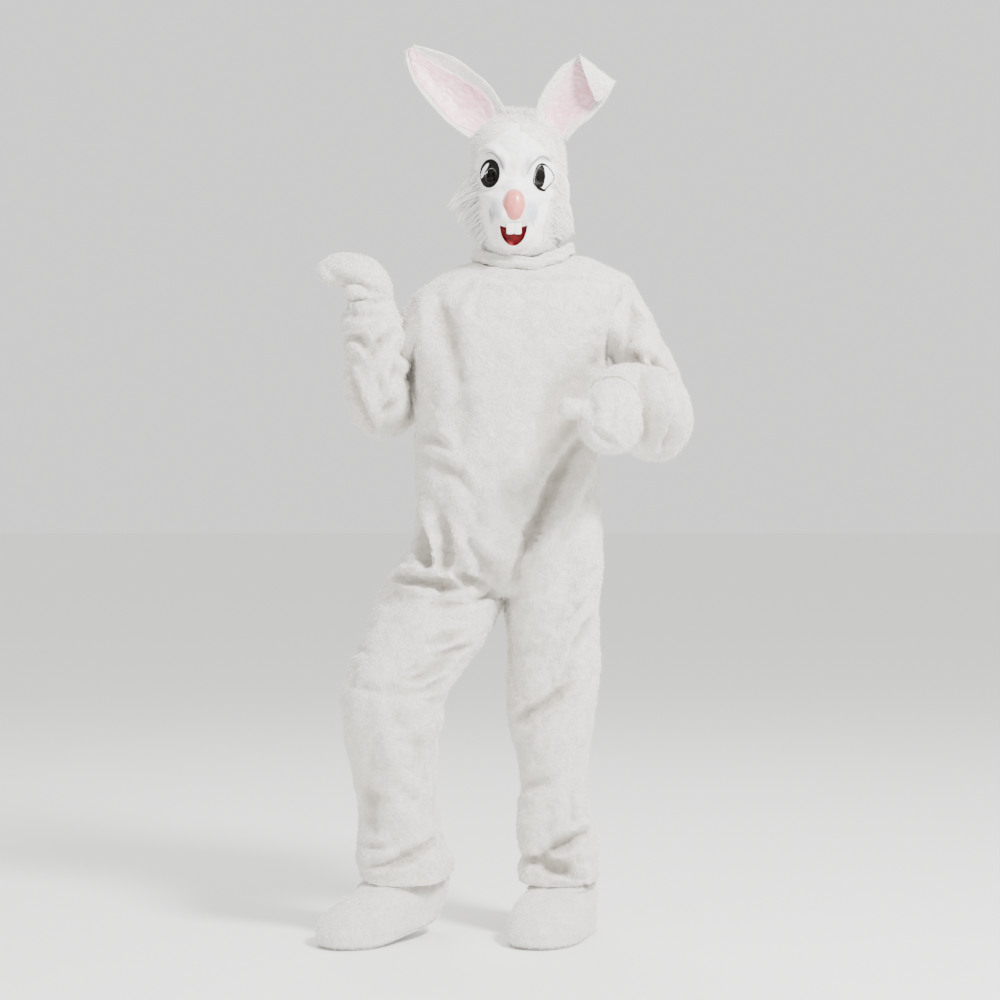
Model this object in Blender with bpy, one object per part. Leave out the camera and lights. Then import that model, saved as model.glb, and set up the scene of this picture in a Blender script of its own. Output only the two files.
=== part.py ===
"""Bunny costume, hollow, in the shape that it hangs in: a plush jumpsuit, a rabbit mask with ears, mitts and shoe covers.

Metres, +Z up, front towards -Y, its own left towards +X. The origin is at the base of the neck,
between the shoulders, where the suit hangs. left and right are the costume's own.
"""

import math

import bpy
import bmesh
import numpy as np
from mathutils import Matrix, Vector
from mathutils.bvhtree import BVHTree

# Driving sizes.
PLUSH = 0.004           # wall of the plush: knitted backing and pile
HOOD_PLUSH = 0.004      # wall of the mask's fur cloth
LATEX = 0.0025          # wall of the moulded face
SATIN = 0.0015          # wall of the ear lining
SEAM_GAP = 0.0003       # clearance between sewn pieces
FLOOR_Z = -1.410        # the floor lies this far below the shoulders
SLEEVE_CLEAR = 0.010    # how far a sleeve's outside stays from the body's
SLEEVE_EASE = 0.0075    # what each row from the armhole adds to it

# Mesh density.
QUARTER = 8             # columns in a quarter of the body, from the side seam to the centre
ARMHOLE_ROWS = 7        # rows of the body along each armhole edge
LEG_ROWS = 16           # rows of each leg
SLEEVE_ROWS = 14        # rows of each sleeve
MITT_RING = 12          # points round a mitt
HAND_STEPS = 1.5        # rows for each line of a mitt's table

WHITE_PLUSH = ((0.93, 0.91, 0.87), 0.9)
WHITE_FUR = ((0.94, 0.92, 0.89), 0.95)
WHITE_LATEX = ((0.93, 0.91, 0.89), 0.5)
PINK_SATIN = ((0.93, 0.70, 0.74), 0.55)
PINK_LATEX = ((0.86, 0.44, 0.42), 0.35)
RED_LATEX = ((0.45, 0.03, 0.05), 0.4)
TOOTH = ((0.96, 0.95, 0.92), 0.3)


def table(names, rows):
    """A table with named columns: {name: array of that column}."""
    return dict(zip(names.split(), np.array(rows, float).T, strict=True))


def spline(rows, position):
    """The Catmull-Rom curve through rows, read at a position from 0 to len(rows) - 1."""
    rows = np.asarray(rows, float)
    last = len(rows) - 1
    i = min(int(position), last - 1)
    t = position - i
    before, a, b, after = rows[max(i - 1, 0)], rows[i], rows[i + 1], rows[min(i + 2, last)]
    bend = (2 * before - 5 * a + 4 * b - after) * t * t + (3 * a - before - 3 * b + after) * t**3
    return 0.5 * (2 * a + (b - before) * t + bend)


def table_row(columns, position):
    """One line of a table, read between its lines by the spline: {name: value}."""
    values = spline(np.array(list(columns.values())).T, position)
    return dict(zip(columns, values, strict=True))


def lines_of(columns):
    """The table's lines, one dictionary each."""
    return [dict(zip(columns, line, strict=True)) for line in zip(*columns.values())]


def signed_power(value, power):
    return math.copysign(abs(value) ** power, value)


def smooth(t):
    t = np.clip(t, 0.0, 1.0)
    return t * t * (3 - 2 * t)


def unit(vector):
    vector = np.asarray(vector, float)
    return vector / max(np.linalg.norm(vector), 1e-12)


# Sheets of cloth and their walls.


class Sheet:
    """A cloth surface as one mesh. Its faces are grouped by the panel that they are cut into."""

    def __init__(self):
        self.index = {}
        self.points = []
        self.faces = []
        self.panels = []

    def add(self, key, place):
        if key not in self.index:
            self.index[key] = len(self.points)
            self.points.append(np.asarray(place, float))
        return self.index[key]

    def grid(self, panel, rows, flip=False, closed=False):
        """Triangles between rows of point numbers, split alike, so that one sheet can lie on another.
        A closed row joins its last point to its first."""
        for low, high in zip(rows, rows[1:]):
            count = len(low) if closed else len(low) - 1
            for i in range(count):
                j = (i + 1) % len(low)
                for face in ([low[i], low[j], high[j]], [low[i], high[j], high[i]]):
                    if len(set(face)) == 3:
                        self.faces.append(face[::-1] if flip else face)
                        self.panels.append(panel)

    def normals(self):
        """Outward normals at the points. A seam's are the mean of its panels', so that their walls meet."""
        points = np.array(self.points)
        found = np.zeros_like(points)
        for panel in sorted(set(self.panels)):
            faces = [f for f, p in zip(self.faces, self.panels) if p == panel]
            found += panel_normals(points, faces)
        return found / np.maximum(np.linalg.norm(found, axis=1, keepdims=True), 1e-12)

    def displace(self, height):
        """Moves each point along its normal by height(point, normal)."""
        normals = self.normals()
        self.points = [p + n * height(p, n) for p, n in zip(self.points, normals)]

    def tree(self):
        return BVHTree.FromPolygons([Vector(p) for p in self.points], self.faces)

    def panel_wall(self, panel, thickness):
        """The closed wall of one panel: its points drawn back from its seams, and again on the inside."""
        faces = [f for f, p in zip(self.faces, self.panels) if p == panel]
        used = sorted({n for face in faces for n in face})
        number = {old: new for new, old in enumerate(used)}
        normals = self.normals()[used]
        outer = np.array(self.points)[used]
        faces = [[number[n] for n in face] for face in faces]
        outer = drawn_back(outer, normals, faces)
        return wall_mesh(outer, outer - normals * thickness, faces)

    def form(self, grow):
        """The closed form that the sheet wraps, grown all round, with its open ends capped by fans."""
        points = np.array(self.points) + self.normals() * grow
        faces = list(self.faces)
        edges = edge_loops(faces)
        middle = points[[a for a, _ in edges]].mean(axis=0)
        faces += [[b, a, len(points)] for a, b in edges]
        return np.vstack([points, middle]), faces


def panel_normals(points, faces):
    """Unit normals at the points that the faces use, and zeros elsewhere."""
    found = np.zeros_like(points)
    for face in faces:
        corners = points[face]
        area = np.zeros(3)
        for a, b in zip(corners[1:], corners[2:]):
            area += np.cross(a - corners[0], b - corners[0])
        found[face] += area
    return found / np.maximum(np.linalg.norm(found, axis=1, keepdims=True), 1e-12)


def edge_loops(faces):
    """The directed edges that only one face has."""
    edges = {(a, b) for face in faces for a, b in zip(face, face[1:] + face[:1])}
    return [(a, b) for a, b in sorted(edges) if (b, a) not in edges]


def drawn_back(points, normals, faces):
    """Points with those on an edge moved into the panel by half the seam gap."""
    along = {}
    for a, b in edge_loops(faces):
        way = unit(points[b] - points[a])
        along[a] = along.get(a, 0) + way
        along[b] = along.get(b, 0) + way
    own = panel_normals(points, faces)
    inward = {n: np.zeros(3) for n in along}
    for face in faces:
        middle = points[face].mean(axis=0)
        for n in face:
            if n in inward:
                inward[n] += unit(middle - points[n]) - 0.8 * own[n]
    moved = points.copy()
    for n, way in inward.items():
        turn = np.linalg.norm(along[n]) / 2
        across = np.cross(normals[n], unit(along[n])) if turn > 0.2 else way
        across = unit(across - normals[n] * (across @ normals[n]))
        across = across if across @ way > 0 else -across
        moved[n] += across * SEAM_GAP / 2 / max(turn, 0.5)
    return moved


def wall_mesh(outer, inner, faces):
    """(points, faces) of the closed wall between two sheets with the same faces."""
    shift = len(outer)
    back = [[n + shift for n in reversed(face)] for face in faces]
    rim = []
    for a, b in edge_loops(faces):
        if a < b:
            rim += [[b, a, b + shift], [a, a + shift, b + shift]]
        else:
            rim += [[b, a, a + shift], [b, a + shift, b + shift]]
    return np.vstack([outer, inner]), faces + back + rim


def new_object(name, mesh, finish, collection):
    """A mesh object from (points, faces), with its own Principled material."""
    points, faces = mesh
    data = bpy.data.meshes.new(name)
    data.from_pydata([tuple(p) for p in points], [], faces)
    made = bpy.data.objects.new(name, data)
    collection.objects.link(made)
    shade(made)
    colour, roughness = finish
    material = bpy.data.materials.new(name)
    material.use_nodes = True
    shader = material.node_tree.nodes["Principled BSDF"]
    shader.inputs["Base Color"].default_value = (*colour, 1.0)
    shader.inputs["Roughness"].default_value = roughness
    data.materials.append(material)
    return made


def shade(made):
    made.data.shade_smooth()
    made.data.set_sharp_from_angle(angle=math.radians(50))


def helper(name, mesh, cutters):
    """A cutter, which isn't part of the costume."""
    made = new_object(name, mesh, WHITE_PLUSH, cutters)
    made.hide_render = True
    made.display_type = "WIRE"
    return made


def apply_boolean(target, other, operation="DIFFERENCE"):
    """Cuts target by other, or joins other to it, and keeps the result as target's mesh."""
    modifier = target.modifiers.new(operation.lower(), "BOOLEAN")
    modifier.operation = operation
    modifier.solver = "EXACT"
    modifier.object = other
    graph = bpy.context.evaluated_depsgraph_get()
    result = bpy.data.meshes.new_from_object(target.evaluated_get(graph))
    target.modifiers.clear()
    target.data = result
    shade(target)


# Folds: soft troughs (depth below 0) and ridges (above 0), as straight stretches seen from the front.
# facing is -1 on the front and +1 on the back.

BODY_FOLDS = table(
    "facing x0 z0 x1 z1 depth width",
    [
        (-1, -0.146, -0.070, -0.128, -0.300, -0.014, 0.024),   # chest trough on the right
        (-1, -0.186, -0.080, -0.186, -0.260, 0.006, 0.026),    # and the ridge outside it
        (-1, 0.205, -0.070, 0.180, -0.200, -0.012, 0.020),     # along the left armhole
        (-1, 0.085, -0.440, 0.008, -0.680, -0.018, 0.022),     # drape from the left side to the crotch
        (-1, 0.150, -0.420, 0.035, -0.640, 0.014, 0.026),
        (-1, 0.163, -0.560, 0.110, -0.760, 0.010, 0.022),
        (-1, 0.172, -0.640, 0.120, -0.800, -0.010, 0.018),
        (-1, -0.206, -0.560, -0.200, -0.640, -0.014, 0.022),   # right hip, above the raised thigh
        (-1, -0.182, -0.560, -0.180, -0.650, 0.008, 0.018),
        (-1, -0.270, -0.658, -0.155, -0.688, -0.014, 0.016),
        (-1, -0.150, -0.636, -0.050, -0.680, -0.012, 0.018),   # into the crotch
        (-1, -0.180, -0.725, -0.080, -0.715, -0.008, 0.014),
        (-1, -0.220, -0.790, -0.115, -0.760, -0.007, 0.014),   # behind the right knee, to the inside
        (-1, -0.230, -0.850, -0.135, -0.810, -0.010, 0.015),
        (-1, -0.010, -0.955, 0.090, -0.890, -0.011, 0.018),    # below the left knee
        (-1, 0.090, -0.890, 0.155, -0.800, -0.008, 0.018),
        (-1, 0.045, -1.240, 0.140, -1.190, -0.016, 0.015),     # over the left ankle
        (-1, 0.020, -1.262, 0.150, -1.275, -0.014, 0.012),
        (-1, -0.110, -0.400, -0.075, -0.540, -0.007, 0.030),   # slack at the waist
        (1, -0.120, -0.080, -0.090, -0.330, -0.012, 0.026),    # from the shoulder blades down
        (1, 0.130, -0.080, 0.105, -0.330, -0.012, 0.026),
        (1, -0.150, -0.420, -0.050, -0.540, -0.012, 0.026),    # slack above the seat
        (1, 0.145, -0.430, 0.050, -0.550, -0.012, 0.026),
        (1, -0.200, -0.730, -0.100, -0.715, -0.010, 0.018),    # under the seat
        (1, 0.150, -0.740, 0.060, -0.725, -0.010, 0.018),
        (1, -0.330, -0.900, -0.190, -0.880, -0.010, 0.016),    # backs of the knees
        (1, 0.010, -0.930, 0.140, -0.905, -0.010, 0.016),
        (1, 0.020, -1.220, 0.150, -1.250, -0.014, 0.014),
    ],
)


def fold_height(folds, point, normal):
    """How far the folds move a point along its normal."""
    place = point[[0, 2]]
    start = np.stack([folds["x0"], folds["z0"]], axis=1)
    run = np.stack([folds["x1"], folds["z1"]], axis=1) - start
    along = ((place - start) * run).sum(axis=1) / (run**2).sum(axis=1)
    near = start + run * np.clip(along, 0, 1)[:, None]
    away = np.linalg.norm(place - near, axis=1)
    facing = smooth((normal[1] * folds["facing"] - 0.05) / 0.6)
    return float((folds["depth"] * np.exp(-((away / folds["width"]) ** 2)) * facing).sum())


# The jumpsuit's body. Each line of the torso table is a ring round the body, from the crotch up.
# zr, zl, zf and zb are its heights at the right side, left side, front and back.

TORSO = table(
    "zr zl zf zb xr xl yf yb square",
    [
        (-0.706, -0.706, -0.706, -0.706, -0.292, 0.177, -0.138, 0.146, 3.4),   # fork
        (-0.650, -0.650, -0.650, -0.650, -0.262, 0.181, -0.151, 0.157, 2.9),
        (-0.590, -0.590, -0.590, -0.590, -0.222, 0.180, -0.159, 0.163, 2.6),   # hips
        (-0.530, -0.530, -0.530, -0.530, -0.209, 0.176, -0.160, 0.158, 2.4),
        (-0.460, -0.460, -0.460, -0.460, -0.210, 0.176, -0.156, 0.148, 2.4),   # waist
        (-0.380, -0.380, -0.380, -0.375, -0.212, 0.178, -0.156, 0.140, 2.4),
        (-0.300, -0.300, -0.305, -0.290, -0.213, 0.183, -0.156, 0.136, 2.4),
        (-0.215, -0.205, -0.235, -0.205, -0.215, 0.192, -0.153, 0.132, 2.4),   # underarm
        (-0.165, -0.150, -0.175, -0.135, -0.226, 0.220, -0.149, 0.132, 2.4),
        (-0.115, -0.090, -0.118, -0.072, -0.230, 0.246, -0.141, 0.128, 2.3),
        (-0.071, -0.040, -0.076, -0.022, -0.214, 0.244, -0.128, 0.116, 2.2),   # shoulder points
        (-0.036, -0.013, -0.047, 0.000, -0.165, 0.197, -0.111, 0.102, 2.1),
        (-0.012, 0.008, -0.032, 0.008, -0.119, 0.152, -0.097, 0.089, 2.0),
        (-0.002, 0.012, -0.026, 0.012, -0.088, 0.118, -0.090, 0.080, 2.0),     # neck seam
    ],
)
BLEND_TOP = 2           # the torso's line above which it no longer forks
UNDERARM = 7
SHOULDER = 10
NECK = 13
ARMHOLE_BITE = math.radians(36)     # how far the armhole cuts into front and back
FORK_X = -0.022

# Each line of a leg table is a level ring, from the fork down. yc is the ring's middle, deep its half depth,
# and dip how much lower its front hangs.

RIGHT_LEG = table(
    "z x_out x_in yc deep dip",
    [
        (-0.706, -0.292, FORK_X, 0.004, 0.142, 0.0),
        (-0.751, -0.3076, -0.040, -0.012, 0.133, 0.0),
        (-0.792, -0.3211, -0.065, -0.032, 0.124, 0.0),
        (-0.832, -0.3400, -0.096, -0.050, 0.115, 0.0),
        (-0.873, -0.3550, -0.122, -0.063, 0.107, 0.0),
        (-0.914, -0.3604, -0.149, -0.070, 0.101, 0.0),
        (-0.956, -0.3566, -0.152, -0.066, 0.098, 0.0),
        (-1.020, -0.3510, -0.165, -0.052, 0.093, 0.0),
        (-1.083, -0.3378, -0.167, -0.036, 0.090, 0.0),
        (-1.150, -0.3300, -0.161, -0.020, 0.090, 0.0),
        (-1.213, -0.3333, -0.147, -0.012, 0.094, 0.004),
        (-1.246, -0.3385, -0.134, -0.010, 0.100, 0.010),
        (-1.278, -0.3330, -0.131, -0.010, 0.100, 0.0168),   # hem
    ],
)
LEFT_LEG = table(
    "z x_out x_in yc deep dip",
    [
        (-0.706, 0.177, FORK_X, 0.004, 0.142, 0.0),
        (-0.752, 0.177, -0.0215, 0.006, 0.131, 0.0),
        (-0.805, 0.176, -0.0125, 0.008, 0.121, 0.0),
        (-0.857, 0.175, -0.0170, 0.006, 0.112, 0.0),
        (-0.920, 0.168, -0.0185, 0.002, 0.104, 0.0),
        (-0.983, 0.158, -0.0140, 0.004, 0.098, 0.0),
        (-1.029, 0.151, 0.0000, 0.008, 0.093, 0.0),
        (-1.103, 0.146, 0.0120, 0.014, 0.087, 0.0),
        (-1.141, 0.151, 0.0074, 0.016, 0.088, 0.0),
        (-1.187, 0.166, 0.0031, 0.018, 0.092, 0.0),
        (-1.225, 0.173, 0.0063, 0.018, 0.096, 0.004),
        (-1.250, 0.170, 0.0140, 0.018, 0.090, 0.008),
        (-1.273, 0.175, 0.0030, 0.016, 0.102, 0.010),
        (-1.292, 0.174, 0.0060, 0.014, 0.100, 0.0085),      # hem
    ],
)
LEG_ROUND = 0.86        # below 1 squares a leg's ring a little


def ring_point(ring, angle):
    """A point of a body or head ring. angle is 0 at the left side, 90 degrees at the back, 180 at the right."""
    c, s = math.cos(angle), math.sin(angle)
    power = 2 / ring["square"]
    middle, half = (ring["xl"] + ring["xr"]) / 2, (ring["xl"] - ring["xr"]) / 2
    x = middle + half * signed_power(c, power)
    y = abs(s) ** power * (ring["yb"] if s > 0 else ring["yf"])
    across = (1 + signed_power(c, power)) / 2
    side_z = ring["zr"] + (ring["zl"] - ring["zr"]) * across
    centre_z = ring["zb"] if s > 0 else ring["zf"]
    return np.array([x, y, side_z + (centre_z - side_z) * s * s])


def leg_point(ring, angle):
    """A point of a leg ring. angle is 0 at the outside, 90 degrees at the back, 180 at the inseam."""
    c, s = math.cos(angle), math.sin(angle)
    middle, half = (ring["x_out"] + ring["x_in"]) / 2, (ring["x_out"] - ring["x_in"]) / 2
    x = middle + half * signed_power(c, LEG_ROUND)
    y = ring["yc"] + ring["deep"] * signed_power(s, LEG_ROUND)
    return np.array([x, y, ring["z"] - ring["dip"] * max(-s, 0)])


def torso_positions():
    """Positions in the torso table of the mesh's rows, from the fork up."""
    blend = [0.0, 0.06, 0.22, 0.55, 1.0, 1.5]
    plain = [BLEND_TOP + i * 0.625 for i in range(8)]
    armhole = [UNDERARM + i * (SHOULDER - UNDERARM) / ARMHOLE_ROWS for i in range(ARMHOLE_ROWS)]
    yoke = list(range(SHOULDER, NECK + 1))
    return blend + plain + armhole + yoke


def fork_share(position, k):
    """How much of a point is a leg's: 1 at the fork, 0 where the torso begins. The centre curves like a J."""
    t = min(position / BLEND_TOP, 1.0)
    hooked = 1 - math.sqrt(1 - (1 - t) ** 2)
    return hooked + (float(smooth(1 - t)) - hooked) * (1 - (k / QUARTER) ** 2)


def body_point(position, side, face, k):
    """A point of the body above the fork. k runs from the side seam, or the armhole, to the centre."""
    ring = table_row(TORSO, position)
    bite = 0.0
    if UNDERARM < position < SHOULDER:
        share = (position - UNDERARM) / (SHOULDER - UNDERARM)
        bite = ARMHOLE_BITE * math.sin(math.pi * share) ** 0.75
    quarter = bite + (math.pi / 2 - bite) * k / QUARTER
    angle = quarter if side > 0 else math.pi - quarter
    point = ring_point(ring, angle if face == "back" else -angle)
    share = fork_share(position, k)
    if share == 0:
        return point
    outer = ring["xl"] if side > 0 else ring["xr"]
    depth = (ring["yb"] - ring["yf"]) / 2
    yc = (ring["yb"] + ring["yf"]) / 2
    leg = {"z": ring["zf"], "x_out": outer, "x_in": FORK_X, "yc": yc, "deep": depth, "dip": 0.0}
    turn = math.pi * k / QUARTER
    return point * (1 - share) + leg_point(leg, turn if face == "back" else -turn) * share


def body_key(row, armhole, side, face, k):
    """Points that panels share have one key: on a side seam, on the centre line and at the fork."""
    if k == QUARTER:
        return ("fork",) if row == 0 else ("centre", face, row)
    if k == 0 and row not in armhole:
        return ("side", side, row)
    return (side, face, row, k)


def panel_name(side, face):
    """The front is one piece. The back is cut in two, to close down its middle."""
    if face == "front":
        return "front"
    return "back_left" if side > 0 else "back_right"


def add_body(sheet):
    """Torso and legs. Returns the rows of each quarter, and the rows of the underarm and the shoulder point."""
    positions = torso_positions()
    underarm_row, shoulder_row = positions.index(UNDERARM), positions.index(SHOULDER)
    armhole = set(range(underarm_row + 1, shoulder_row))
    quarters = {}
    for side in (1, -1):
        for face in ("front", "back"):
            rows = []
            for row, position in enumerate(positions):
                keys = [body_key(row, armhole, side, face, k) for k in range(QUARTER + 1)]
                rows.append([sheet.add(key, body_point(position, side, face, k)) for k, key in enumerate(keys)])
            quarters[side, face] = rows
            sheet.grid(panel_name(side, face), rows, flip=(side > 0) == (face == "front"))
            add_half_leg(sheet, side, face, rows[0])
    return quarters, underarm_row, shoulder_row


def add_half_leg(sheet, side, face, fork_row):
    """The front or back of one leg, from the fork to the hem."""
    leg = LEFT_LEG if side > 0 else RIGHT_LEG
    last = len(leg["z"]) - 1
    rows = [fork_row]
    for number in range(1, LEG_ROWS + 1):
        ring = table_row(leg, last * number / LEG_ROWS)
        line = []
        for k in range(QUARTER + 1):
            key = ("leg", side, face, number, k)
            if k == 0:
                key = ("leg side", side, number)
            elif k == QUARTER:
                key = ("inseam", side, number)
            turn = math.pi * k / QUARTER
            line.append(sheet.add(key, leg_point(ring, turn if face == "back" else -turn)))
        rows.append(line)
    sheet.grid(panel_name(side, face), rows, flip=(side > 0) != (face == "front"))


# The collar: a soft stand-up band that has slumped into two rolls.

COLLAR = table(
    "rise out",
    [(0.0, 0.0), (0.009, 0.007), (0.016, 0.001), (0.025, -0.004)],
)


def add_collar(sheet, quarters):
    """The band on the neck seam."""
    left_back, right_back = quarters[1, "back"][-1], quarters[-1, "back"][-1]
    left_front, right_front = quarters[1, "front"][-1], quarters[-1, "front"][-1]
    ring = left_back + right_back[-2::-1] + right_front[1:] + left_front[-2:0:-1]
    base = np.array([sheet.points[n] for n in ring])
    middle = base.mean(axis=0)
    rows = [ring]
    for line in lines_of(COLLAR)[1:]:
        row = []
        for i, point in enumerate(base):
            out = unit([point[0] - middle[0], point[1] - middle[1], 0]) * line["out"]
            row.append(sheet.add(("collar", line["rise"], i), point + out + [0, 0, line["rise"]]))
        rows.append(row)
    sheet.grid("collar", rows, closed=True)


# Sleeves: rings square to the arm's line. across is the half width towards the front of the arm,
# deep the half width away from the body.

LEFT_ARM = table(
    "x y z across deep",
    [
        (0.268, 0.006, -0.208, 0.084, 0.062),
        (0.274, 0.002, -0.266, 0.087, 0.075),
        (0.284, -0.024, -0.318, 0.088, 0.082),     # elbow
        (0.278, -0.078, -0.330, 0.086, 0.082),
        (0.254, -0.135, -0.318, 0.083, 0.078),
        (0.224, -0.190, -0.300, 0.079, 0.075),
        (0.196, -0.243, -0.306, 0.068, 0.070),     # cuff
    ],
)
RIGHT_ARM = table(
    "x y z across deep",
    [
        (-0.262, 0.026, -0.200, 0.078, 0.046),
        (-0.264, 0.070, -0.256, 0.062, 0.052),
        (-0.270, 0.080, -0.302, 0.060, 0.060),     # elbow
        (-0.282, 0.025, -0.310, 0.064, 0.064),
        (-0.288, -0.028, -0.286, 0.066, 0.065),
        (-0.291, -0.055, -0.240, 0.066, 0.065),
        (-0.295, -0.066, -0.190, 0.063, 0.064),
        (-0.302, -0.070, -0.143, 0.063, 0.063),
        (-0.312, -0.072, -0.098, 0.062, 0.064),    # cuff
    ],
)

# A sleeve's folds: at is the line of the arm table, turn the place round it in degrees (0 outside, 90 front,
# 180 towards the body), spread how far round the fold runs, and slant how far along it moves with the turn.

LEFT_SLEEVE_FOLDS = table(
    "at turn spread slant depth width",
    [
        (1.5, 150, 70, 0.4, -0.012, 0.5),
        (2.5, 150, 75, 0.0, -0.016, 0.4),
        (3.3, 150, 75, 0.0, 0.008, 0.35),
        (4.0, 150, 75, -0.3, -0.015, 0.4),
        (5.2, 140, 80, -0.4, -0.010, 0.4),
        (3.0, 330, 70, 0.0, 0.006, 0.7),
        (5.6, 0, 80, 0.2, -0.006, 0.4),
    ],
)
RIGHT_SLEEVE_FOLDS = table(
    "at turn spread slant depth width",
    [
        (2.4, 110, 80, 0.3, -0.012, 0.5),
        (4.2, 120, 80, 0.4, -0.014, 0.5),
        (5.3, 60, 70, -0.6, -0.008, 0.5),
        (6.6, 90, 110, 0.5, -0.009, 0.4),
        (7.5, 70, 120, 0.3, 0.006, 0.4),
        (8.2, 90, 130, 0.3, -0.008, 0.35),
    ],
)


def sleeve_fold(folds, position, turn):
    """How far a sleeve's folds move a point outwards."""
    round_it = (turn - folds["turn"] + 180) % 360 - 180
    along = position - folds["at"] - folds["slant"] * round_it / 90
    height = folds["depth"] * np.exp(-((along / folds["width"]) ** 2) - (round_it / folds["spread"]) ** 2)
    return float(height.sum())


def carried_frames(line, across):
    """(across, out) at each point of a line, turned as little as possible from one to the next."""
    frames = []
    for i in range(len(line)):
        tangent = unit(line[min(i + 1, len(line) - 1)] - line[max(i - 1, 0)])
        across = unit(across - tangent * (across @ tangent))
        frames.append((across, np.cross(tangent, across)))
    return frames


def sleeve_rings(arm, side, start):
    """The armhole's ring, then one for each line of the arm's table."""
    line = np.stack([arm["x"], arm["y"], arm["z"]], axis=1)
    turns = np.arange(len(start)) * 2 * math.pi / len(start)
    rings = [start]
    for i, (front, out) in enumerate(carried_frames(line, np.array([0.0, -1.0, 0.0]))):
        away = np.outer(np.cos(turns), out * -side) * arm["deep"][i]
        rings.append(line[i] + away + np.outer(np.sin(turns), front) * arm["across"][i])
    return np.array(rings)


def clear_of(tree, point, clearance):
    """The point, or one pushed out of the body to the clearance."""
    near, normal, _, _ = tree.find_nearest(Vector(point))
    depth = (Vector(point) - near).dot(normal)
    return point if depth > clearance else np.array(near + normal * clearance)


def add_sleeve(sheet, side, quarters, underarm_row, shoulder_row):
    """A sleeve, from the armhole's own points to its cuff."""
    tree = sheet.tree()
    front = [quarters[side, "front"][row][0] for row in range(shoulder_row, underarm_row, -1)]
    back = [quarters[side, "back"][row][0] for row in range(underarm_row, shoulder_row)]
    loop = front + back
    arm, folds = (LEFT_ARM, LEFT_SLEEVE_FOLDS) if side > 0 else (RIGHT_ARM, RIGHT_SLEEVE_FOLDS)
    rings = sleeve_rings(arm, side, np.array([sheet.points[n] for n in loop]))
    rows = [loop]
    for number in range(1, SLEEVE_ROWS + 1):
        position = number * (len(rings) - 1) / SLEEVE_ROWS
        ring = spline(rings.reshape(len(rings), -1), position).reshape(-1, 3)
        middle = ring.mean(axis=0)
        row = []
        for i, point in enumerate(ring):
            turn = 360 * i / len(ring)
            point = point + unit(point - middle) * sleeve_fold(folds, position, turn)
            point = clear_of(tree, point, min(number * SLEEVE_EASE, SLEEVE_CLEAR))
            row.append(sheet.add(("sleeve", side, number, i), point))
        rows.append(row)
    sheet.grid("sleeve_left" if side > 0 else "sleeve_right", rows, flip=side < 0, closed=True)


# The back closes with hook and loop under a plain placket, from the collar to the seat.

PLACKET_ROWS = (8, 22)  # rows of the body that it spans
PLACKET = 0.0025


def make_placket(sheet, quarters, parts):
    """A strip over the centre back seam, one column of the body's mesh wide on each side of it."""
    normals = sheet.normals()
    strip = Sheet()
    for side in (1, -1):
        rows = []
        for row in range(*PLACKET_ROWS):
            numbers = quarters[side, "back"][row][-2:]
            rows.append([strip.add(n, sheet.points[n] + normals[n] * (SEAM_GAP + PLACKET)) for n in numbers])
        strip.grid("back_placket", rows, flip=side < 0)
    new_object("back_placket", strip.panel_wall("back_placket", PLACKET), WHITE_PLUSH, parts)


def make_jumpsuit(parts):
    sheet = Sheet()
    quarters, underarm_row, shoulder_row = add_body(sheet)
    sheet.displace(lambda p, n: fold_height(BODY_FOLDS, p, n))
    for side in (1, -1):
        add_sleeve(sheet, side, quarters, underarm_row, shoulder_row)
    make_placket(sheet, quarters, parts)
    add_collar(sheet, quarters)
    for panel in ("front", "back_left", "back_right", "collar", "sleeve_left", "sleeve_right"):
        new_object(panel, sheet.panel_wall(panel, PLUSH), WHITE_PLUSH, parts)


# The mask. Each line is a ring round the head, from the neck up. edge is how far round from the front,
# in degrees, the moulded face reaches before the fur cloth begins.

HEAD = table(
    "zr zl zf zb xr xl yf yb square edge",
    [
        (-0.012, -0.012, -0.012, -0.012, -0.056, 0.076, -0.060, 0.060, 2.0, 40),
        (0.006, 0.006, -0.0024, 0.006, -0.060, 0.081, -0.0738, 0.061, 2.0, 40),
        (0.030, 0.030, 0.016, 0.030, -0.068, 0.088, -0.104, 0.064, 2.0, 42),    # chin, where the face starts
        (0.060, 0.060, 0.042, 0.058, -0.077, 0.093, -0.124, 0.080, 2.0, 54),
        (0.095, 0.095, 0.082, 0.092, -0.084, 0.095, -0.133, 0.096, 2.05, 62),
        (0.135, 0.135, 0.126, 0.130, -0.089, 0.099, -0.128, 0.110, 2.1, 66),
        (0.175, 0.175, 0.168, 0.172, -0.0925, 0.1025, -0.114, 0.115, 2.1, 66),  # eyes
        (0.215, 0.215, 0.212, 0.214, -0.0935, 0.1015, -0.112, 0.113, 2.1, 62),
        (0.250, 0.250, 0.250, 0.250, -0.0900, 0.0965, -0.102, 0.102, 2.1, 54),
        (0.278, 0.278, 0.280, 0.278, -0.072, 0.080, -0.080, 0.082, 2.1, 44),    # hairline, where it ends
        (0.298, 0.298, 0.300, 0.298, -0.046, 0.053, -0.050, 0.052, 2.0, 44),
        (0.311, 0.311, 0.312, 0.311, -0.018, 0.024, -0.020, 0.022, 2.0, 44),
    ],
)
CHIN, HAIRLINE = 2, 9
CROWN = (0.003, 0.001, 0.3145)
CUTTER_FRONT, CUTTER_BACK = -0.20, -0.02     # how far the mouth and eye cutters reach, as y
MOUTH_CLEAR = 0.0008
FACE_TURN = -0.012      # the face looks a little to its own right
FACE_COLUMNS = 12
HOOD_COLUMNS = 14

# The moulded relief, as stretches like the folds, seen from the front.

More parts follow.
